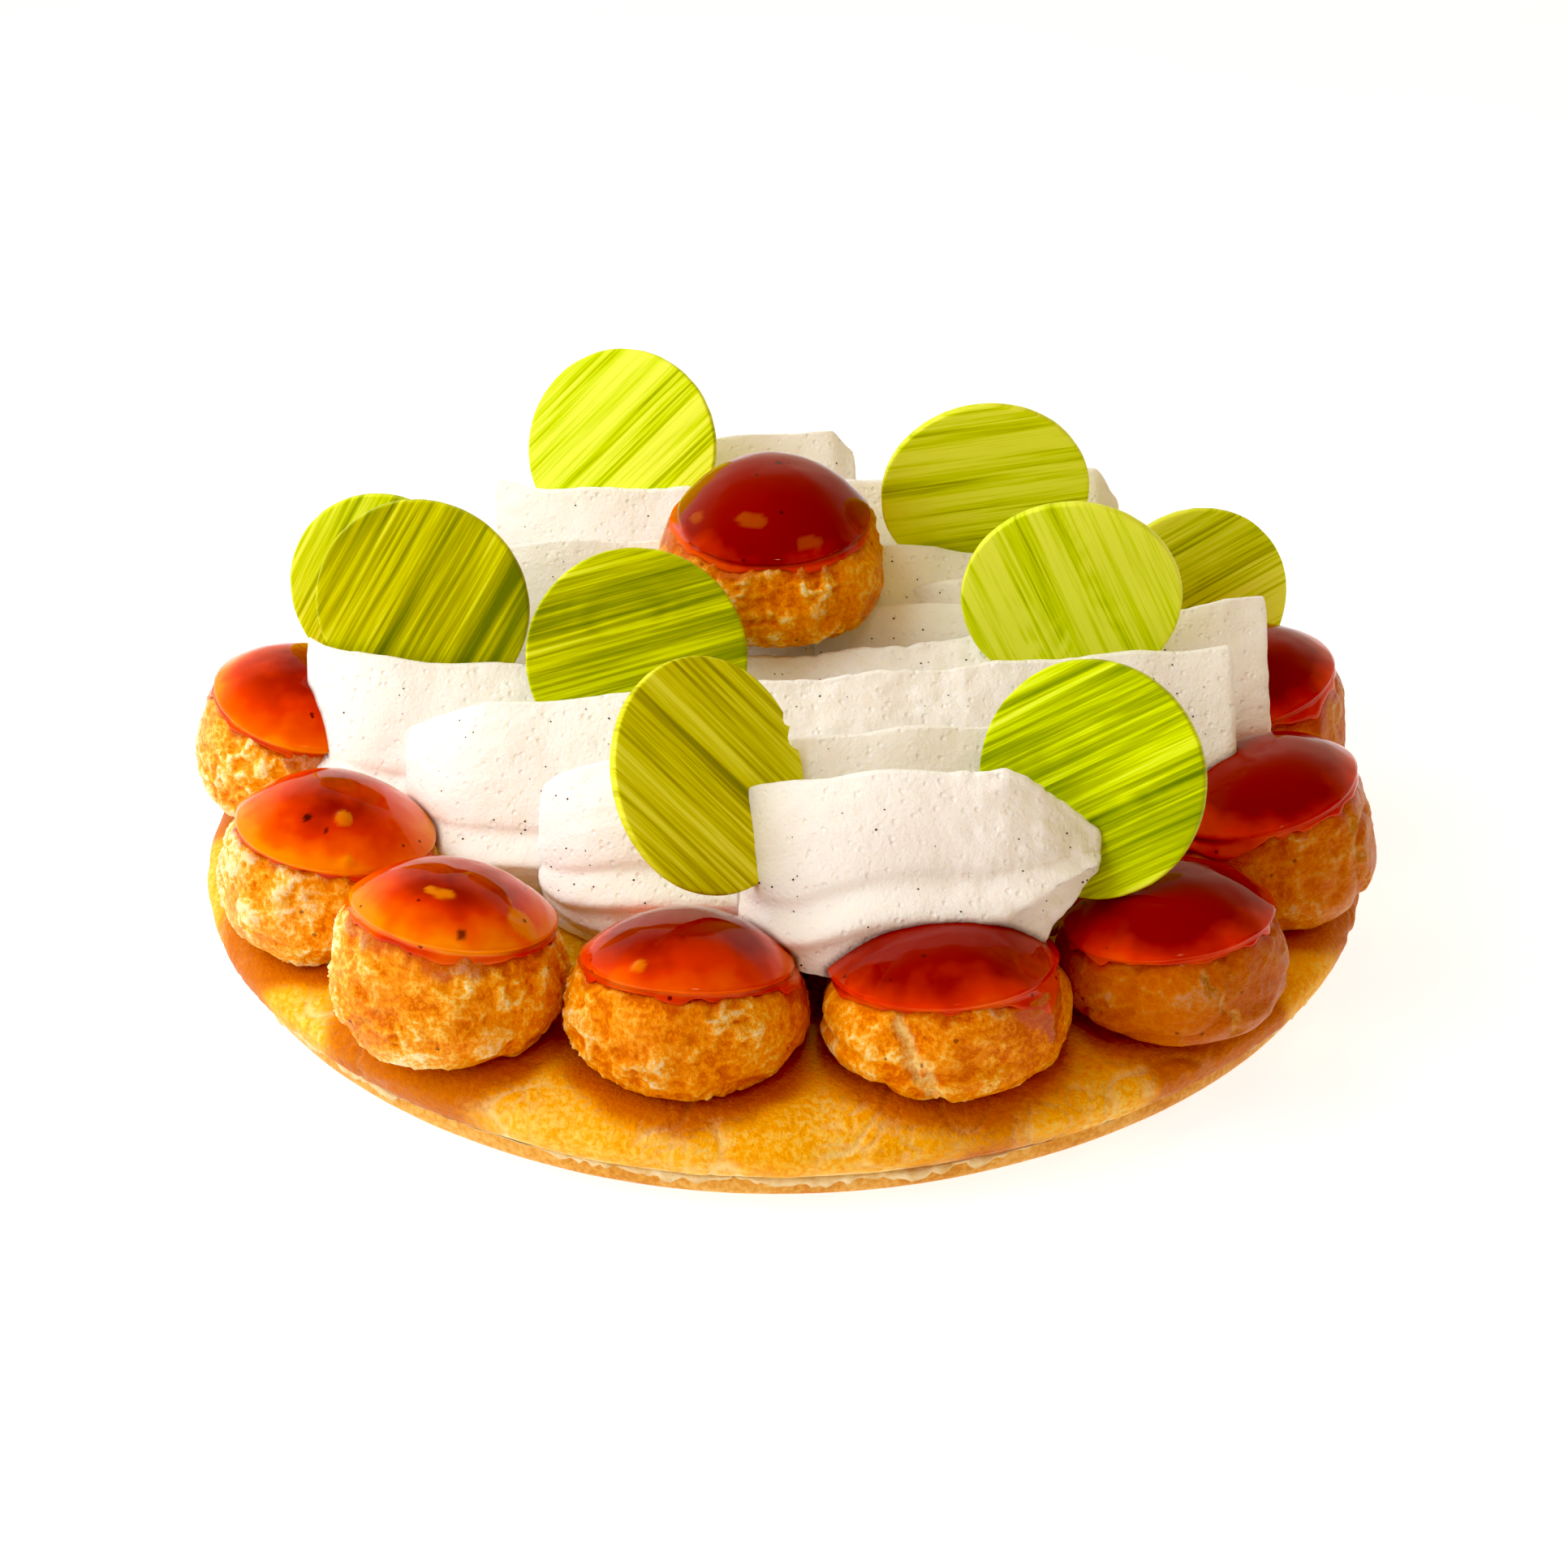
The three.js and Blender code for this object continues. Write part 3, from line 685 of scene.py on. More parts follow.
def cream_material():
    """Cream with small pits, and with painted shade where it touches a cap."""
    material, tree, shader = new_material(
        "cream", Roughness=0.5, Subsurface_Weight=0.35, Subsurface_Scale=0.004,
        Subsurface_Radius=(1.0, 0.8, 0.6))
    where = place_in(tree)
    shade = noise_in(tree, where, 14.0, detail=3.0)
    body = ramp(tree, shade, [(0.3, "#f3f0ea"), (0.7, "#f9f7f3")])
    # Painted shade, dark brown, where the cream touches a cap
    plug(tree, tinted(tree, field_in(tree, "painted_contact_shade"), body, "#6a1e06"), shader.inputs["Base Color"])
    distance, _ = spots_in(tree, where, 1.9)
    pits = calc(tree, "MULTIPLY", remap(tree, distance, (0.08, 0.3)), 0.6)
    grain = noise_in(tree, where, 0.8, detail=3.0, roughness=0.6)
    bump_in(tree, shader, calc(tree, "ADD", pits, grain), 0.26)
    return material


STREAK_PLACES = (0.2, 0.38, 0.55, 0.72, 0.95)
STREAK_CODES = [("#647a02", "#889a02", "#a8b603", "#d0e20a", "#ecf650"),
                ("#6e6c02", "#948402", "#b89c03", "#d8c20c", "#f0e840")]


def chocolate_material():
    """Chocolate with broad and fine streaks, green or more olive."""
    material, tree, shader = new_material(
        "chocolate", Roughness=0.4, Specular_IOR_Level=0.15, Subsurface_Weight=0.15, Subsurface_Scale=0.002,
        Subsurface_Radius=(0.6, 1.0, 0.2))
    streak = field_in(tree, "streak", "Vector")
    broad = noise_in(tree, stretch(tree, streak, (1.0, 0.04, 1.0)), 3.4)
    fine = noise_in(tree, stretch(tree, streak, (1.0, 0.02, 1.0)), 0.7, detail=3.0, roughness=0.65)
    broad_tone = remap(tree, broad, (0.0, 1.0), (0.08, 0.92))
    tone = calc(tree, "ADD", broad_tone, remap(tree, fine, (0.0, 1.0), (-0.4, 0.4)))
    toned = calc(tree, "ADD", tone, field_in(tree, "tone"))
    green, olive = (ramp(tree, toned, list(zip(STREAK_PLACES, codes))) for codes in STREAK_CODES)
    body = mix(tree, field_in(tree, "warmth"), green, olive)
    # A paler rim, partly a painted highlight along the edge
    plug(tree, tinted(tree, field_in(tree, "rim"), body, "#d0d440"), shader.inputs["Base Color"])
    bump_in(tree, shader, fine, 0.05)
    return material


def speck_material():
    material, tree, shader = new_material("vanilla", Roughness=0.7)
    shade = noise_in(tree, place_in(tree), 3.0)
    plug(tree, ramp(tree, shade, [(0.3, "#241a14"), (0.7, "#4a3a2c")]), shader.inputs["Base Color"])
    return material


def crumb_material():
    material, tree, shader = new_material("crumb", Roughness=0.7)
    shade = noise_in(tree, place_in(tree), 2.0, detail=3.0)
    plug(tree, ramp(tree, shade, [(0.3, "#e2ba72"), (0.7, "#f7e3b2")]), shader.inputs["Base Color"])
    bump_in(tree, shader, noise_in(tree, place_in(tree), 0.5), 0.15)
    return material


# Round layers

def layer_rings(layer, around_count, flat_steps, rim_steps):
    """Rings from the middle of the underside, up the rim and back to the middle of the top."""
    around = full_turn(around_count)
    middle = (layer["bottom"] + layer["top"]) / 2
    half = (layer["top"] - layer["bottom"]) / 2
    turn = np.linspace(-math.pi / 2, math.pi / 2, rim_steps)
    inset = np.where(turn < 0, layer["undercut"], layer["shoulder"])
    rim_radius = layer["radius"] - inset * (1 - np.cos(turn))
    shares = np.linspace(LAYER_MIDDLE, 1.0, flat_steps)[:-1]
    radius = np.concatenate([shares * rim_radius[0], rim_radius, shares[::-1] * rim_radius[-1]])
    below = np.full(len(shares), layer["bottom"])
    above = np.full(len(shares), layer["top"])
    height = np.concatenate([below, middle + half * np.sin(turn), above])
    swell = 1 + wave_sum(LAYER_WAVES, around, layer["turn"], 0)
    return circle_points(around, radius[:, None] * swell, height[:, None])


def plain_fields(rings, *names):
    """Fields that are 0 all over a piece."""
    return {name: np.zeros(rings.shape[:2]) for name in names}


def painted_puff_foot_shade(points, rows):
    """Painted shade on the base round the feet of the puffs, from 0 to 1."""
    nearest = np.full(points.shape[:-1], np.inf)
    for row in rows:
        away = np.linalg.norm(points[..., :2] - np.array(row["spot"][:2]), axis=-1)
        nearest = np.minimum(nearest, away - row["width"] / 2)
    uneven = bump_sum(points, FOOT_SHADE_BUMPS)
    return FOOT_SHADE_SHARE * (1 - smoothstep(*FOOT_SHADE_SPAN, nearest + uneven))


def wrinkles(points):
    """Fine cracks up the rim of the base, in patches, 1 in the middle of a crack."""
    upright = points * WRINKLE_STRETCH
    lines = [share * creases(upright, size, seed, width) for size, width, share, seed in WRINKLE_LINES]
    return patch_shares(points, *WRINKLE_PATCH) * np.max(lines, axis=0)


def add_upper_base(material, rows):
    rings = layer_rings(UPPER, *UPPER_STEPS)
    over = rings[..., 2] - UPPER["bottom"]
    lines = wrinkles(rings)
    relief = bump_sum(rings, UPPER_BUMPS) - WRINKLE_DEPTH * lines
    torn = 1 - smoothstep(*TORN_SPAN, over + bump_sum(rings, TORN_BUMPS))
    crack = np.clip(WRINKLE_PALENESS * lines + TORN_PALENESS * torn, 0, 1)
    # Painted shade round the feet of the puffs
    fields = {"crack": crack, "painted_contact_shade": painted_puff_foot_shade(rings, rows)}
    moved = raised(rings, smoothstep(*UPPER_FADE, over) * relief)
    add_shell("base_upper_crust", moved, fields, material, "base_upper")


def add_lower_base(material):
    rings = layer_rings(LOWER, *LOWER_STEPS)
    rim = smoothstep(*LOWER_FADE, rings[..., 2] - LOWER["bottom"])
    moved = raised(rings, rim * bump_sum(rings, LOWER_BUMPS))
    fields = plain_fields(rings, "crack", "painted_contact_shade")
    add_shell("base_lower_crust", moved, fields, material, "base_lower")


def add_bed(material):
    rings = layer_rings(BED, *BED_STEPS)
    moved = raised(rings, bump_sum(rings, BED_BUMPS))
    add_shell("cream_bed_fill", moved, plain_fields(rings, "painted_contact_shade"), material, "cream_bed")


# Puffs and their caramel, made with the outward side of the ring along +X

def puff_rows():
    rows = []
    for number, (label, angle, radius, width, height, cap, lean) in enumerate(RING, 1):
        spot = (*turned(radius, 0.0, angle), PUFF_FLOOR)
        rows.append({"label": label, "number": number, "spot": spot, "angle": angle, "rise": RING_RISE,
                     "width": width, "height": height, "cap": cap, "lean": lean})
    rows.append({**CENTRE, "number": len(RING) + 1})
    return rows


def put_down(points, row):
    """Local points of a puff, turned and moved to its place on the cake."""
    x, y = turned(points[..., 0], points[..., 1], row["angle"])
    return np.stack([x, y, points[..., 2]], axis=-1) + np.array(row["spot"])


def lift_out(points, row):
    """Points on the cake, in the local frame of a puff."""
    moved = points - np.array(row["spot"])
    x, y = turned(moved[..., 0], moved[..., 1], -row["angle"])
    return x, y, moved[..., 2]


def slope(row):
    return math.tan(math.radians(row["lean"]))


def sheared(x, y, z):
    return np.stack([x - INWARD_SHEAR * z, y, z], axis=-1)


def puff_radius(t, width):
    below = np.clip((BELLY_AT - t) / BELLY_AT, 0, 1)
    above = np.clip((t - BELLY_AT) / (1 - BELLY_AT), 0, 1)
    tuck = BOTTOM_TUCK * below**BELLY_POWER + TOP_TUCK * above**BELLY_POWER
    return width / 2 * (1 - tuck)


def puff_side(row, around, t, proud=0.0):
    """Points of the skin at shares t of the height, standing proud of the plain form."""
    radius = puff_radius(t, row["width"]) + wave_sum(CRAG_WAVES, around, row["number"], t) + proud
    x, y = polar(radius, around)
    return sheared(x, y, t * row["height"] + t * x * slope(row))


def crust_relief_and_painted_light(points, row):
    """Height of the crust over the plain form, and its lightness from 0 to 1, with painted highlights and
    painted shade.
    """
    style = SMOOTH if row["label"] in SMOOTH_PUFFS else CRUMBLY
    seed = SEED + PUFF_SEEDS * row["number"]
    warped = points + wander(points, *CRUMB_WARP, 3, seed)
    crumbs = sum(share * creases(warped, size, seed + 5, RIDGE_WIDTH) for size, share in CRUMB_SIZES)
    patches = patch_shares(points, *CRUMB_PATCH, seed + 9)
    patchy = CRUMB_PATCH_LEAST + (1 - CRUMB_PATCH_LEAST) * patches
    lumps = smooth_noise(points, LUMP_SIZE, seed + 10)
    folds = creases(points, FOLD_SIZE, seed + 11, FOLD_WIDTH)
    height = style["crumb"] * patchy * (crumbs - CRUMB_MIDDLE) + style["lump"] * lumps - style["fold"] * folds
    # Painted highlights on the crumbs and lumps, and painted shade in the folds
    light = CRUST_PAINTED_LIGHT["plain"] + patchy * (crumbs - CRUST_PAINTED_LIGHT["crumb_level"])
    return height, np.clip(light + CRUST_PAINTED_LIGHT["lump"] * lumps + CRUST_PAINTED_LIGHT["fold"] * folds, 0, 1)


def crack_depths(row, around, t):
    """Depth of the cracks of one puff in millimetres, and their paleness."""
    depth = np.zeros(np.broadcast(around, t).shape)
    pale = depth.copy()
    size = np.array([row["width"] / 2, row["height"]])
    bearing = (around + math.pi) % (2 * math.pi) - math.pi
    place = np.stack(np.broadcast_arrays(bearing, t), axis=-1) * size
    ragged = place + wander(with_zero(place), *CRACK_WANDER)
    for start, end, half_width, deep, paleness in CRACKS.get(row["label"], []):
        first, last = (np.array([math.radians(angle), share]) * size for angle, share in (start, end))
        line = last - first
        along = np.clip(((place - first) @ line) / (line @ line), 0, 1)
        away = np.linalg.norm(ragged - first - along[..., None] * line, axis=-1)
        crack = 1 - smoothstep(*CRACK_EDGE, away / half_width)
        depth = np.maximum(depth, deep * crack)
        pale = np.maximum(pale, paleness * crack)
    return depth, pale


def add_puff(row, material):
    around = full_turn(PUFF_AROUND)[None, :]
    flat = np.zeros(len(PUFF_FLAT))
    t = np.concatenate([flat, np.linspace(0, 1, PUFF_RINGS), flat + 1])[:, None]
    share = np.concatenate([PUFF_FLAT, np.ones(PUFF_RINGS), PUFF_FLAT[::-1]])[:, None]
    reach = np.clip(np.minimum(t, 1 - t) * row["height"] / PUFF_EDGE, 0, 1)
    edge = -PUFF_EDGE * (1 - np.sqrt(1 - (1 - reach) ** 2))
    plain = puff_side(row, around, t, edge)
    middle = plain.mean(axis=1, keepdims=True)
    plain = middle + (plain - middle) * np.stack([share, share, np.ones_like(share)], axis=-1)
    relief, shade = crust_relief_and_painted_light(plain, row)
    crack, pale = crack_depths(row, around, t)
    moved = raised(plain, (relief - crack) * smoothstep(0.0, PUFF_EDGE_FADE, reach) * (share == 1))
    below_rim = (1 - t) * row["height"] + bump_sum(plain, SOAK_EDGE_BUMPS)
    label = row["label"]
    fields = {
        # Lightness of the crust with its painted highlights and shade, and painted light on the puffs on the
        # left
        "relief": shade + LEFT_PUFFS_PAINTED_LIGHT.get(label, 0.0),
        # Browning, and on the puffs to the right painted shade
        "toast_and_painted_shade": np.full(shade.shape, TOAST_AND_PAINTED_SHADE.get(label, 0.0)),
        "flesh": pale,
        "soak": 1 - smoothstep(*SOAK_EDGE, below_rim - soak_drop(row, around)),
    }
    add_shell(f"puff_{label}_pastry", put_down(moved, row), fields, material, f"puff_{label}")


def soak_drop(row, around):
    """How far the caramel has run down from the top of the pastry, at each angle."""
    seed = SEED + SOAK_SEEDS * row["number"]
    circle = circle_points(around, NOISE_CIRCLE, SOAK_LEVEL_STEP * row["number"])
    drop = SOAK_LEAST
    for k, (depth, size, level) in enumerate(SOAK_RUNS):
        drop = drop + depth * np.clip(smooth_noise(circle, size, seed + k) + level, 0, 1)
    return drop


def lip_rings(row, around):
    """Rings of the caramel below its rim, from its thin uneven lower edge up."""
    drop = LIP_SHARE * soak_drop(row, around) / row["height"]
    return np.stack([puff_side(row, around, 1 - drop * (1 - share), proud) for share, proud in LIP_STEPS])


def dome_rings(row, around):
    """Rings of the caramel's rim and dome, up to the middle of its top."""
    radius = row["cap"] / 2
    corner = np.linspace(0, math.pi / 2, CAP_RIM_STEPS)
    rim_reach = radius - CAP_LIP * (1 - np.sin(corner))
    rim_height = CAP_LIP * (1 - np.cos(corner))
    share = np.linspace(1, CAP_MIDDLE, CAP_DOME_STEPS)[1:] ** CAP_SPACING
    reach = np.concatenate([rim_reach, radius * share])[:, None]
    height = np.concatenate([rim_height, CAP_LIP + row["rise"] * (1 - share**DOME_POWER)])[:, None]
    scale = 1 + wave_sum(CAP_WAVES, around, row["number"], 0)
    x, y = polar(reach * scale, around)
    depth = np.broadcast_to(height / (CAP_LIP + row["rise"]), x.shape)
    dome = sheared(x, y, row["height"] + GAP + height + x * slope(row))
    return dome, np.stack([x, y], axis=-1), depth


def mark_shares(places, marks):
    """1 inside the marks of a cap and 0 outside them, at places seen from above."""
    share = np.zeros(places.shape[:-1])
    uneven = bump_sum(with_zero(places), MARK_BUMPS)
    for bearing, reach, long_half, wide_half, strength in marks:
        along, across = turned(places[..., 0], places[..., 1], -bearing)
        away = np.hypot((along - reach) / long_half, across / wide_half)
        share = np.maximum(share, strength * (1 - smoothstep(*MARK_EDGE, away + uneven)))
    return share


def bubble_heights(places, bubbles):
    height = np.zeros(places.shape[:-1])
    for bearing, reach, radius in bubbles:
        away = np.linalg.norm(places - np.array(turned(reach, 0.0, bearing)), axis=-1) / radius
        height += BUBBLE_HEIGHT * np.sqrt(np.clip(1 - away**2, 0, 1))
    return height


def add_caramel(row, material):
    around = full_turn(CAP_AROUND)
    lip = lip_rings(row, around)
    dome, places, depth = dome_rings(row, around)
    label = row["label"]
    bubbles = BUBBLES.get(label, [])
    round_marks = [(bearing, reach, radius, radius, BUBBLE_AMBER) for bearing, reach, radius in bubbles]
    amber = mark_shares(places, AMBER_MARKS.get(label, []) + round_marks)
    dark = mark_shares(places, DARK_MARKS.get(label, []))
    uneven = bump_sum(dome, CAP_BUMPS, SEED + CAP_SEEDS * row["number"])
    dome = raised(dome, uneven + bubble_heights(places, bubbles))
    thin = np.zeros(lip.shape[:2])
    fields = {
        "depth": np.concatenate([thin + LIP_DEPTH, depth + DARK_CAPS.get(label, 0.0)]),
        "amber": np.concatenate([thin, amber]),
        "dark": np.concatenate([thin, dark]),
    }
    rings = put_down(np.concatenate([lip, dome]), row)
    add_shell(f"caramel_{label}_glaze", rings, fields, material, f"caramel_{label}")


# Cream strokes

def stroke_rows():
    return [{**STROKE_COMMON, **row, "number": number} for number, row in enumerate(STROKES, 1)]


def stroke_length(row):
    return row["to"][0] - row["from"][0]


def near_end(row, s):
    """0 along a stroke, rising to 1 at its end."""
    share = (TAPER_LENGTH if row["taper"] > 0 else END_LENGTH) / stroke_length(row)
    into = np.clip((s - 1 + share) / share, 0, 1)
    return into**TAPER_POWER if row["taper"] > 0 else smoothstep(0, 1, into)


def crest_line(row, s):
    start = np.array(row["from"], float)
    crest = start + (np.array(row["to"], float) - start) * s[:, None]
    along = crest[:, 0] - start[0]
    crest[:, 1] += row["facing"] * START_CURL * np.exp(-along / CURL_LENGTH)
    crest[:, 2] += row["bow"] * 4 * s * (1 - s)
    crest[:, 2] -= row["start"] * np.exp(-along / START_LENGTH)
    crest[:, 2] -= row["end"] * near_end(row, s)
    crest[:, 2] += RIPPLE * np.sin(RIPPLE_TURN * along + row["number"])
    return crest


def station_shares(row):
    """Places along a stroke from 0 to 1, closer together where the ends are rounded."""
    length = stroke_length(row)
    ends = END_STATIONS / length
    margin = END_ROUND / length
    between = np.linspace(margin, 1 - margin, int(length / STATION_STEP))
    return np.concatenate([ends, between, 1 - ends[::-1]])


def section_point(part, q, height, foot, root, back, bead_at):
    """Depth towards the face and height over the crest of one point of the section."""
    front = CREST_HALF + foot
    if part == "face":
        bead = BEAD_DEPTH * np.exp(-(((q - bead_at) / BEAD_SPREAD) ** 2))
        groove_depth = GROOVE_DEPTH * foot / foot.max()
        groove = groove_depth * np.exp(-(((q - bead_at + GROOVE_OVER) / GROOVE_SPREAD) ** 2))
        return CREST_HALF + foot * (1 - (1 - q) ** FACE_POWER) + bead - groove, -q * height
    if part == "root":
        return front - ROOT_INSET * q, -height - root * q
    if part == "floor":
        inner = front - ROOT_INSET
        return inner + (-CREST_HALF - back - inner) * q, -height - root
    if part == "back":
        return -CREST_HALF - back * q**BACK_POWER, -q * (height + root)
    turn = math.pi * (1 - q)
    return CREST_HALF * math.cos(turn), CREST_ROUND * math.sin(turn)


def stroke_rings(row, s):
    crest = crest_line(row, s)
    left = 1 - row["taper"] * near_end(row, s)
    height = (crest[:, 2] - row["floor"]) * left
    root = 0.0 if row["hangs"] else row["floor"] - ROOT_FLOOR
    along = crest[:, 0] - row["from"][0]
    foot = row["foot"] * left * (1 - START_TUCK * np.exp(-along / TUCK_LENGTH))
    bead_start, bead_far, bead_length = row["bead"]
    bead_at = bead_far + (bead_start - bead_far) * np.exp(-((along / bead_length) ** 2))
    columns = []
    for part, shares in SECTION.items():
        for q in shares:
            depth, over = section_point(part, q, height, foot, root, row["back"], bead_at)
            y = crest[:, 1] - row["facing"] * depth
            columns.append(np.stack([crest[:, 0], y, crest[:, 2] + over], axis=-1))
    return np.stack(columns, axis=1)[::row["facing"]]


def round_ends(rings, s, row):
    """Draws the first and last sections in, so that the cut ends have a soft edge."""
    away = np.minimum(s, 1 - s) * stroke_length(row) / END_ROUND
    inset = END_ROUND * (1 - np.sqrt(1 - (1 - np.clip(away, 0, 1)) ** 2))
    middle = rings.mean(axis=1, keepdims=True)
    size = np.linalg.norm(rings - middle, axis=-1, keepdims=True).mean(axis=1, keepdims=True)
    return middle + (rings - middle) * (1 - inset[:, None, None] / size)


def with_end_faces(rings):
    """Adds smaller rings in the plane of each end, so that the end faces shade as flat."""
    def shrunk(ring, share):
        return ring.mean(axis=0) + (ring - ring.mean(axis=0)) * share
    first = [shrunk(rings[0], share) for share in END_FACE_SHARES]
    last = [shrunk(rings[-1], share) for share in END_FACE_SHARES[::-1]]
    return np.concatenate([np.stack(first), rings, np.stack(last)])


def cream_relief(points, row):
    seed = SEED + STROKE_SEEDS * row["number"]
    drag = bump_sum(points * DRAG_STRETCH, DRAG_BUMPS, seed)
    return bump_sum(points, CREAM_BUMPS, seed) + drag + torn_cream(points, row)


def torn_cream(points, row):
    """Torn ridges on the stretch of a stroke where its cream is rough."""
    if row["rough"] is None:
        return 0.0
    here = within(points[..., 0], *row["rough"], ROUGH_FADE)
    ridges = np.abs(smooth_noise(points * ROUGH_STRETCH, *RIDGE_NOISE))
    crumbs = bump_sum(points, ROUGH_BUMPS)
    return here * (RIDGE_HEIGHT * (ridges - RIDGE_LEVEL) + crumbs)


def painted_cap_contact_shade(points, rows):
    """Painted shade on the cream where it touches a cap, from 0 to 1."""
    painted_contact_shade = np.zeros(points.shape[:-1])
    for row in rows:
        x, y, z = lift_out(points, row)
        x = x + INWARD_SHEAR * z
        share = np.hypot(x, y) / (row["cap"] / 2)
        dome = CAP_LIP + row["rise"] * (1 - np.clip(share, 0, 1) ** DOME_POWER)
        over = z - row["height"] - GAP - dome - x * slope(row)
        near = (1 - smoothstep(*TOUCH_SPAN, over)) * (1 - smoothstep(*TOUCH_RIM, share))
        painted_contact_shade = np.maximum(painted_contact_shade, near * smoothstep(*TOUCH_UNDER, over))
    return TOUCH_SHARE * painted_contact_shade


def add_stroke(row, material, puffs):
    s = station_shares(row)
    rings = with_end_faces(round_ends(stroke_rings(row, s), s, row))
    moved = raised(rings, cream_relief(rings, row))
    name = f"cream_{row['number']}"
    # The field holds painted shade where the cream touches a cap
    add_shell(f"{name}_stroke", moved, {"painted_contact_shade": painted_cap_contact_shade(moved, puffs)}, material, name)
    return moved


# Chocolate discs

def disc_rings(number):
    """Rings from the middle of the back face over the rim to the middle of the front face."""
    around = full_turn(DISC_AROUND)
    half = DISC_THICKNESS / 2
    flat_reach = DISC_FLAT * DISC_RADIUS
    flat_depth = np.full(len(DISC_FLAT), half)
    bevel = np.linspace(-math.pi / 2, math.pi / 2, BEVEL_STEPS)
    bevel_reach = DISC_RADIUS - BEVEL * (1 - np.cos(bevel))
    reach = np.concatenate([flat_reach, bevel_reach, flat_reach[::-1]])[:, None]
    depth = np.concatenate([flat_depth, -half * np.sin(bevel), -flat_depth])[:, None]
    circle = circle_points(around, NOISE_CIRCLE, NOISE_CIRCLE * number)
    uneven = 1 + bump_sum(circle, DISC_RIM_BUMPS)
    reach = np.minimum(reach, DISC_RADIUS - chip_depths(number, around))
    x, z = polar(reach * uneven, around)
    return np.stack([x, np.broadcast_to(depth, x.shape), z], axis=-1), reach


def chip_depths(number, around):
    """Depth of the bites out of the rim of one disc, at angles on its face."""
    depth = np.zeros(around.shape)
    for bearing, radius in CHIPS.get(number, []):
        away = DISC_RADIUS * np.abs((around - math.radians(bearing) + math.pi) % (2 * math.pi) - math.pi)
        depth = np.maximum(depth, radius * np.sqrt(np.clip(1 - (away / radius) ** 2, 0, 1)))
    return depth


def band_tones(streak, number, tone):
    """Lightness of a disc with its darker and paler bands."""
    across, along = streak[..., 0], streak[..., 1]
    total = np.full(across.shape, tone)
    for place, half_width, lightness, start, end in BANDS.get(number, []):
        band = np.exp(-(((across - place) / half_width) ** 2))
        total += lightness * band * within(along, start, end, BAND_FADE)
    return total


def stand_disc(points, at, turn, lean):
    """Leans a disc back, turns it about the vertical and moves it to its place."""
    y, z = turned(points[..., 1], points[..., 2], -lean)
    x, y = turned(points[..., 0], y, turn)
    return np.stack([x, y, z], axis=-1) + np.array(at)


def streak_places(points, number, angle):
    """Places across and along the streaks, apart from those of the other discs."""
    along, across = turned(points[..., 0], points[..., 2], -angle)
    return np.stack([across, along, np.full(along.shape, STREAKS_APART * number)], axis=-1)


def add_disc(number, row, material):
    at, turn, lean, angle, tone, warmth = row
    rings, reach = disc_rings(number)
    streak = streak_places(rings, number, angle)
    fields = {
        "streak": streak * MM,
        # Lightness of the disc, partly painted light for how brightly it is lit, with its bands
        "tone": band_tones(streak, number, tone),
        "warmth": np.full(reach.shape, warmth),
        # Paler rim, partly a painted highlight
        "rim": DISC_RIM_HIGHLIGHT_SHARE * smoothstep(*DISC_RIM_HIGHLIGHT_SPAN, reach),
    }
    name = f"disc_{number}"
    add_shell(f"{name}_leaf", stand_disc(rings, at, turn, lean), fields, material, name)


# Scattered small things

OCTAHEDRON = np.array([(1, 0, 0), (-1, 0, 0), (0, 1, 0), (0, -1, 0), (0, 0, 1), (0, 0, -1)], float)
OCTAHEDRON_FACES = [(0, 2, 4), (2, 1, 4), (1, 3, 4), (3, 0, 4), (2, 0, 5), (1, 2, 5), (3, 1, 5), (0, 3, 5)]


def add_vanilla(strokes, material):
    """Seeds scattered over the faces of the strokes, each a small octahedron."""
    rng = np.random.default_rng(SEED)
    spots = []
    for rings in strokes:
        count = rings.shape[0]
        stations = rng.integers(SPECK_CLEAR, count - SPECK_CLEAR, size=count // SPECK_STATIONS)
        steps = rng.integers(*SPECK_STEPS, size=len(stations))
        spots.append(rings[stations, steps])
    spots = np.concatenate(spots)
    sizes = rng.uniform(*SPECK_HALF, size=(len(spots), 1, 1))
    points = (OCTAHEDRON * sizes + spots[:, None, :]).reshape(-1, 3)
    starts = range(0, len(points), len(OCTAHEDRON))
    faces = [[start + corner for corner in face] for start in starts for face in OCTAHEDRON_FACES]
    add_loose("vanilla_specks", points, faces, material)


def add_seam(material):
    """A ragged flake of pale crust that hangs out between the layers of the base."""
    around = full_turn(SEAM_AROUND)
    circle = circle_points(around, UPPER["radius"], 0.0)
    here = patch_shares(circle, *SEAM_PATCH)
    least, most = SEAM_LIMITS
    hang = least + here * (SEAM_DEPTH + bump_sum(circle, SEAM_BUMPS))
    top = LOWER["top"]
    lower = top - np.clip(hang, least, most)
    reach = SEAM_REACH + bump_sum(circle, SEAM_REACH_BUMPS)
    swell = 1 + wave_sum(LAYER_WAVES, around, UPPER["turn"], 0)
    section = [(SEAM_INSET, top), (SEAM_TUCK, lower), (0.0, lower + SEAM_EDGE), (0.0, top),
               (SEAM_INSET, UPPER["bottom"])]
    rings = np.stack([circle_points(around, (reach - inset) * swell, level) for inset, level in section])
    faces = ring_quads(len(rings), SEAM_AROUND)
    add_loose("seam_flake", rings.reshape(-1, 3), faces, material)


# Stage, light and camera

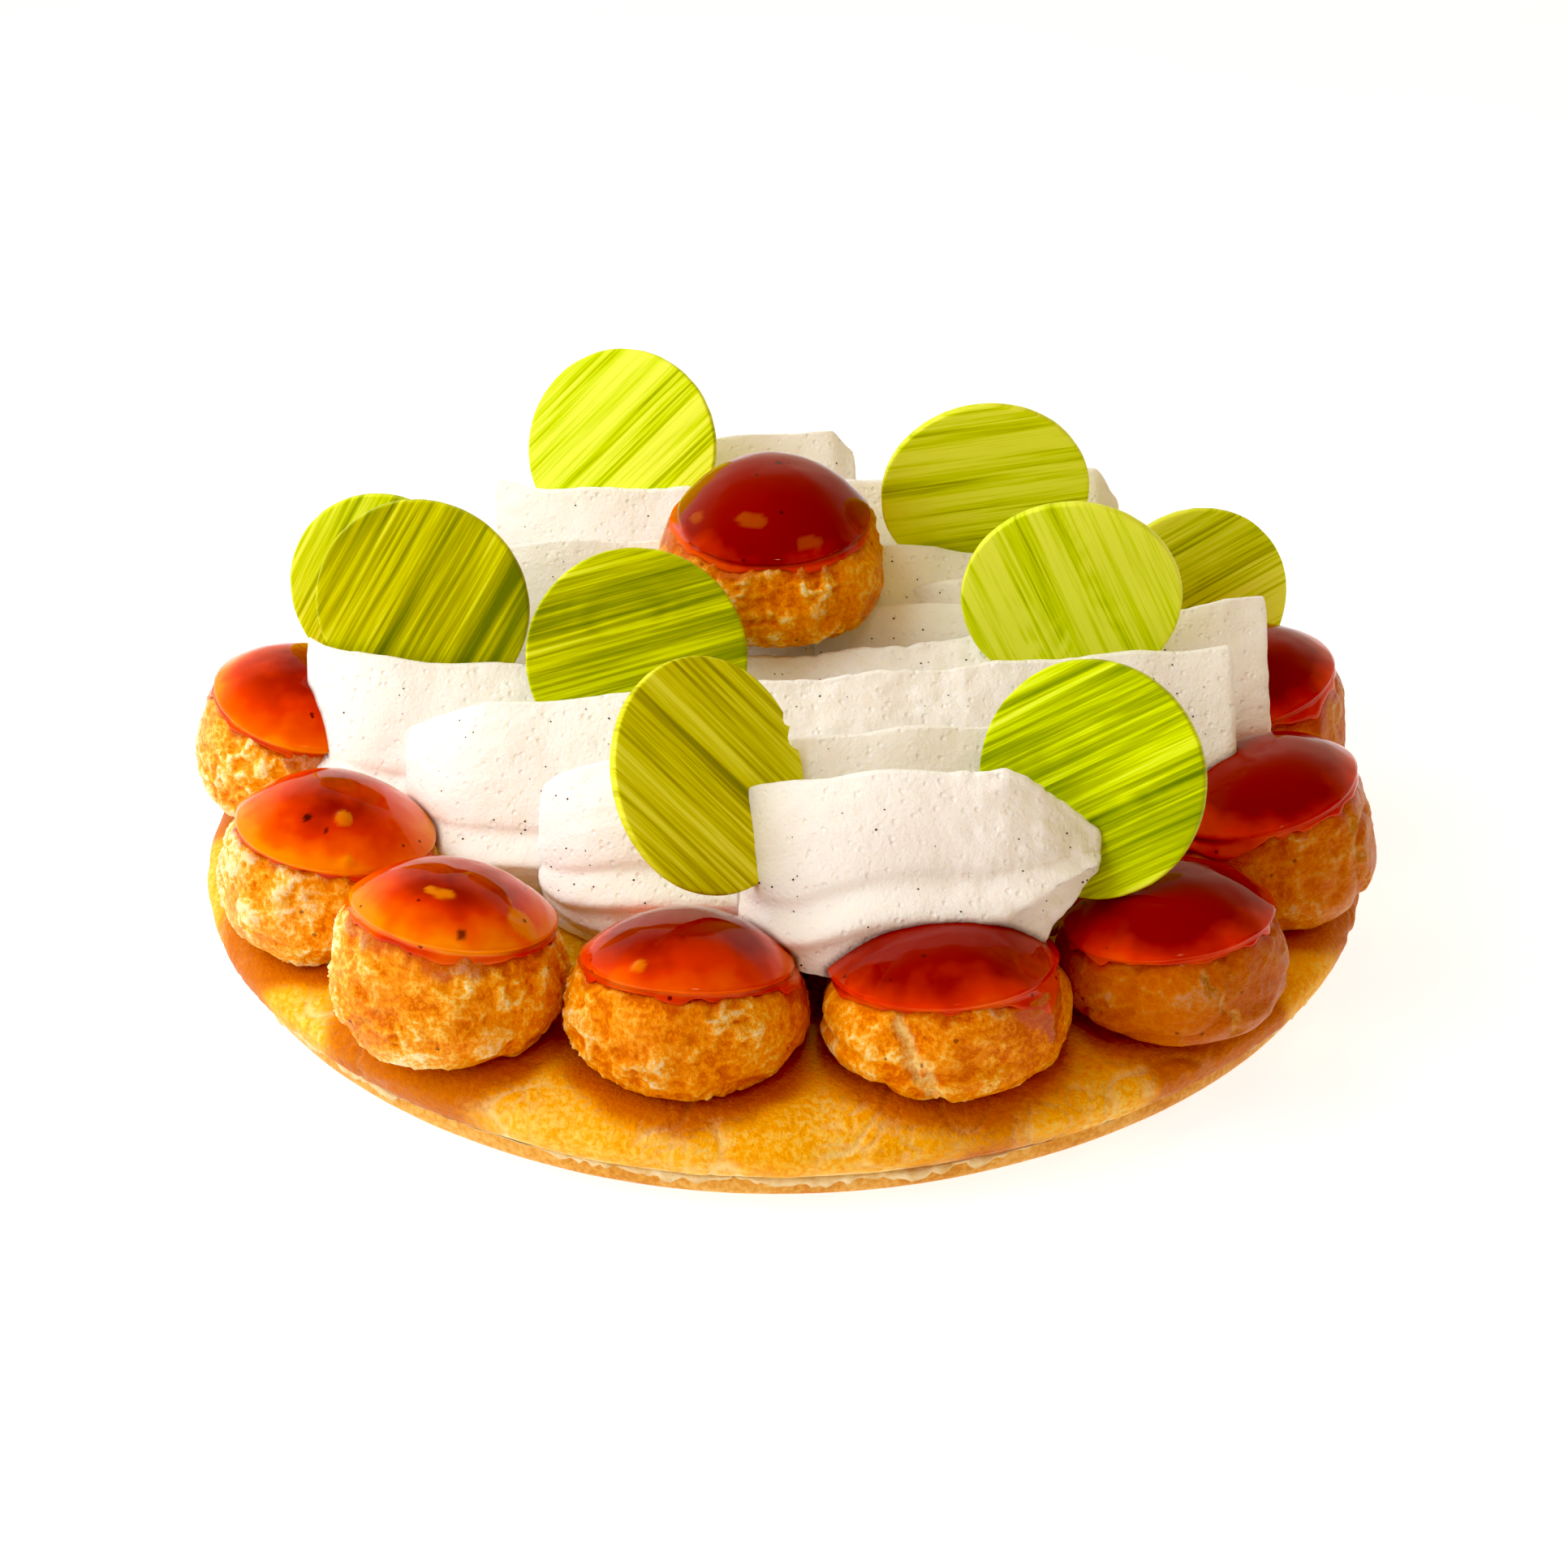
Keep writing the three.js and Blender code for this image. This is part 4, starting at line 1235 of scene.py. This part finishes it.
def add_floor():
    material, tree, shader = new_material(
        "floor", Roughness=0.8, Emission_Color=(1.0, 1.0, 1.0, 1.0), Emission_Strength=FLOOR_GLOW)
    shade = noise_in(tree, place_in(tree), 200.0)
    plug(tree, ramp(tree, shade, [(0.3, "#b4b4b4"), (0.7, "#b8b8b8")]), shader.inputs["Base Color"])
    corners = FLOOR_HALF * np.array([(-1, -1, 0), (1, -1, 0), (1, 1, 0), (-1, 1, 0)])
    floor = add_mesh("floor", corners, [(0, 1, 2, 3)], {}, material)


def aim(thing, place, target):
    thing.location = Vector(place) * MM
    direction = (Vector(target) - Vector(place)).normalized()
    thing.rotation_mode = "QUATERNION"
    thing.rotation_quaternion = direction.to_track_quat("-Z", "Y")


def add_lamp(name, place, size, power, tint, mirrored):
    light = bpy.data.lights.new(name, "AREA")
    light.shape = "DISK"
    light.size = size * MM
    light.energy = power
    light.color = colour(tint)[:3]
    lamp = add_object(name, light)
    lamp.visible_glossy = mirrored
    aim(lamp, place, CAMERA_AIM)


def add_world():
    """Surroundings: bright behind the cake, most of all low down, grey on the left and dim elsewhere."""
    world = bpy.data.worlds.new("studio")
    world.use_nodes = True
    tree = world.node_tree
    direction = add_node(tree, "TexCoord", {}).outputs["Generated"]
    x, y, z = add_node(tree, "SeparateXYZ", {0: direction}).outputs
    behind = remap(tree, y, BEHIND_SPAN)
    above = remap(tree, z, ABOVE_SPAN)
    right = remap(tree, x, RIGHT_SPAN)
    left = remap(tree, x, LEFT_SPAN)
    around = mix(tree, left, mix(tree, right, WORLD_DIM, WORLD_RIGHT), WORLD_LEFT)
    light = mix(tree, behind, around, mix(tree, above, WORLD_BRIGHT, WORLD_ABOVE))
    tree.links.new(light, tree.nodes["Background"].inputs["Color"])
    bpy.context.scene.world = world


def add_camera():
    camera = bpy.data.cameras.new("camera")
    camera.sensor_width = SENSOR
    camera.lens = SENSOR * FOCAL_PIXELS / FRAME_PIXELS
    holder = add_object("camera", camera)
    rise = math.radians(CAMERA_ELEVATION)
    back = Vector((0, -math.cos(rise), math.sin(rise))) * CAMERA_DISTANCE
    aim(holder, Vector(CAMERA_AIM) + back, CAMERA_AIM)
    bpy.context.scene.camera = holder


def set_look():
    """Plain colours with slightly deepened darks."""
    settings = bpy.context.scene.view_settings
    settings.view_transform = "Standard"
    settings.use_curve_mapping = True
    settings.curve_mapping.black_level = (BLACK_LEVEL, BLACK_LEVEL, BLACK_LEVEL)
    settings.curve_mapping.update()


def build_cake():
    rows = puff_rows()
    ring = rows[:-1]
    add_upper_base(base_material("puff_pastry", UPPER_CRUST, 0.45), ring)
    add_lower_base(base_material("shortcrust", LOWER_CRUST, 0.12))
    choux = choux_material()
    caramel = caramel_material()
    for row in rows:
        add_puff(row, choux)
        add_caramel(row, caramel)
    cream = cream_material()
    add_bed(cream)
    strokes = [add_stroke(row, cream, ring) for row in stroke_rows()]
    chocolate = chocolate_material()
    for number, row in enumerate(DISCS, 1):
        add_disc(number, row, chocolate)
    add_vanilla(strokes, speck_material())
    add_seam(crumb_material())


def build_studio():
    add_floor()
    add_world()
    for lamp in LAMPS:
        add_lamp(*lamp)
    add_camera()
    set_look()


build_cake()
build_studio()
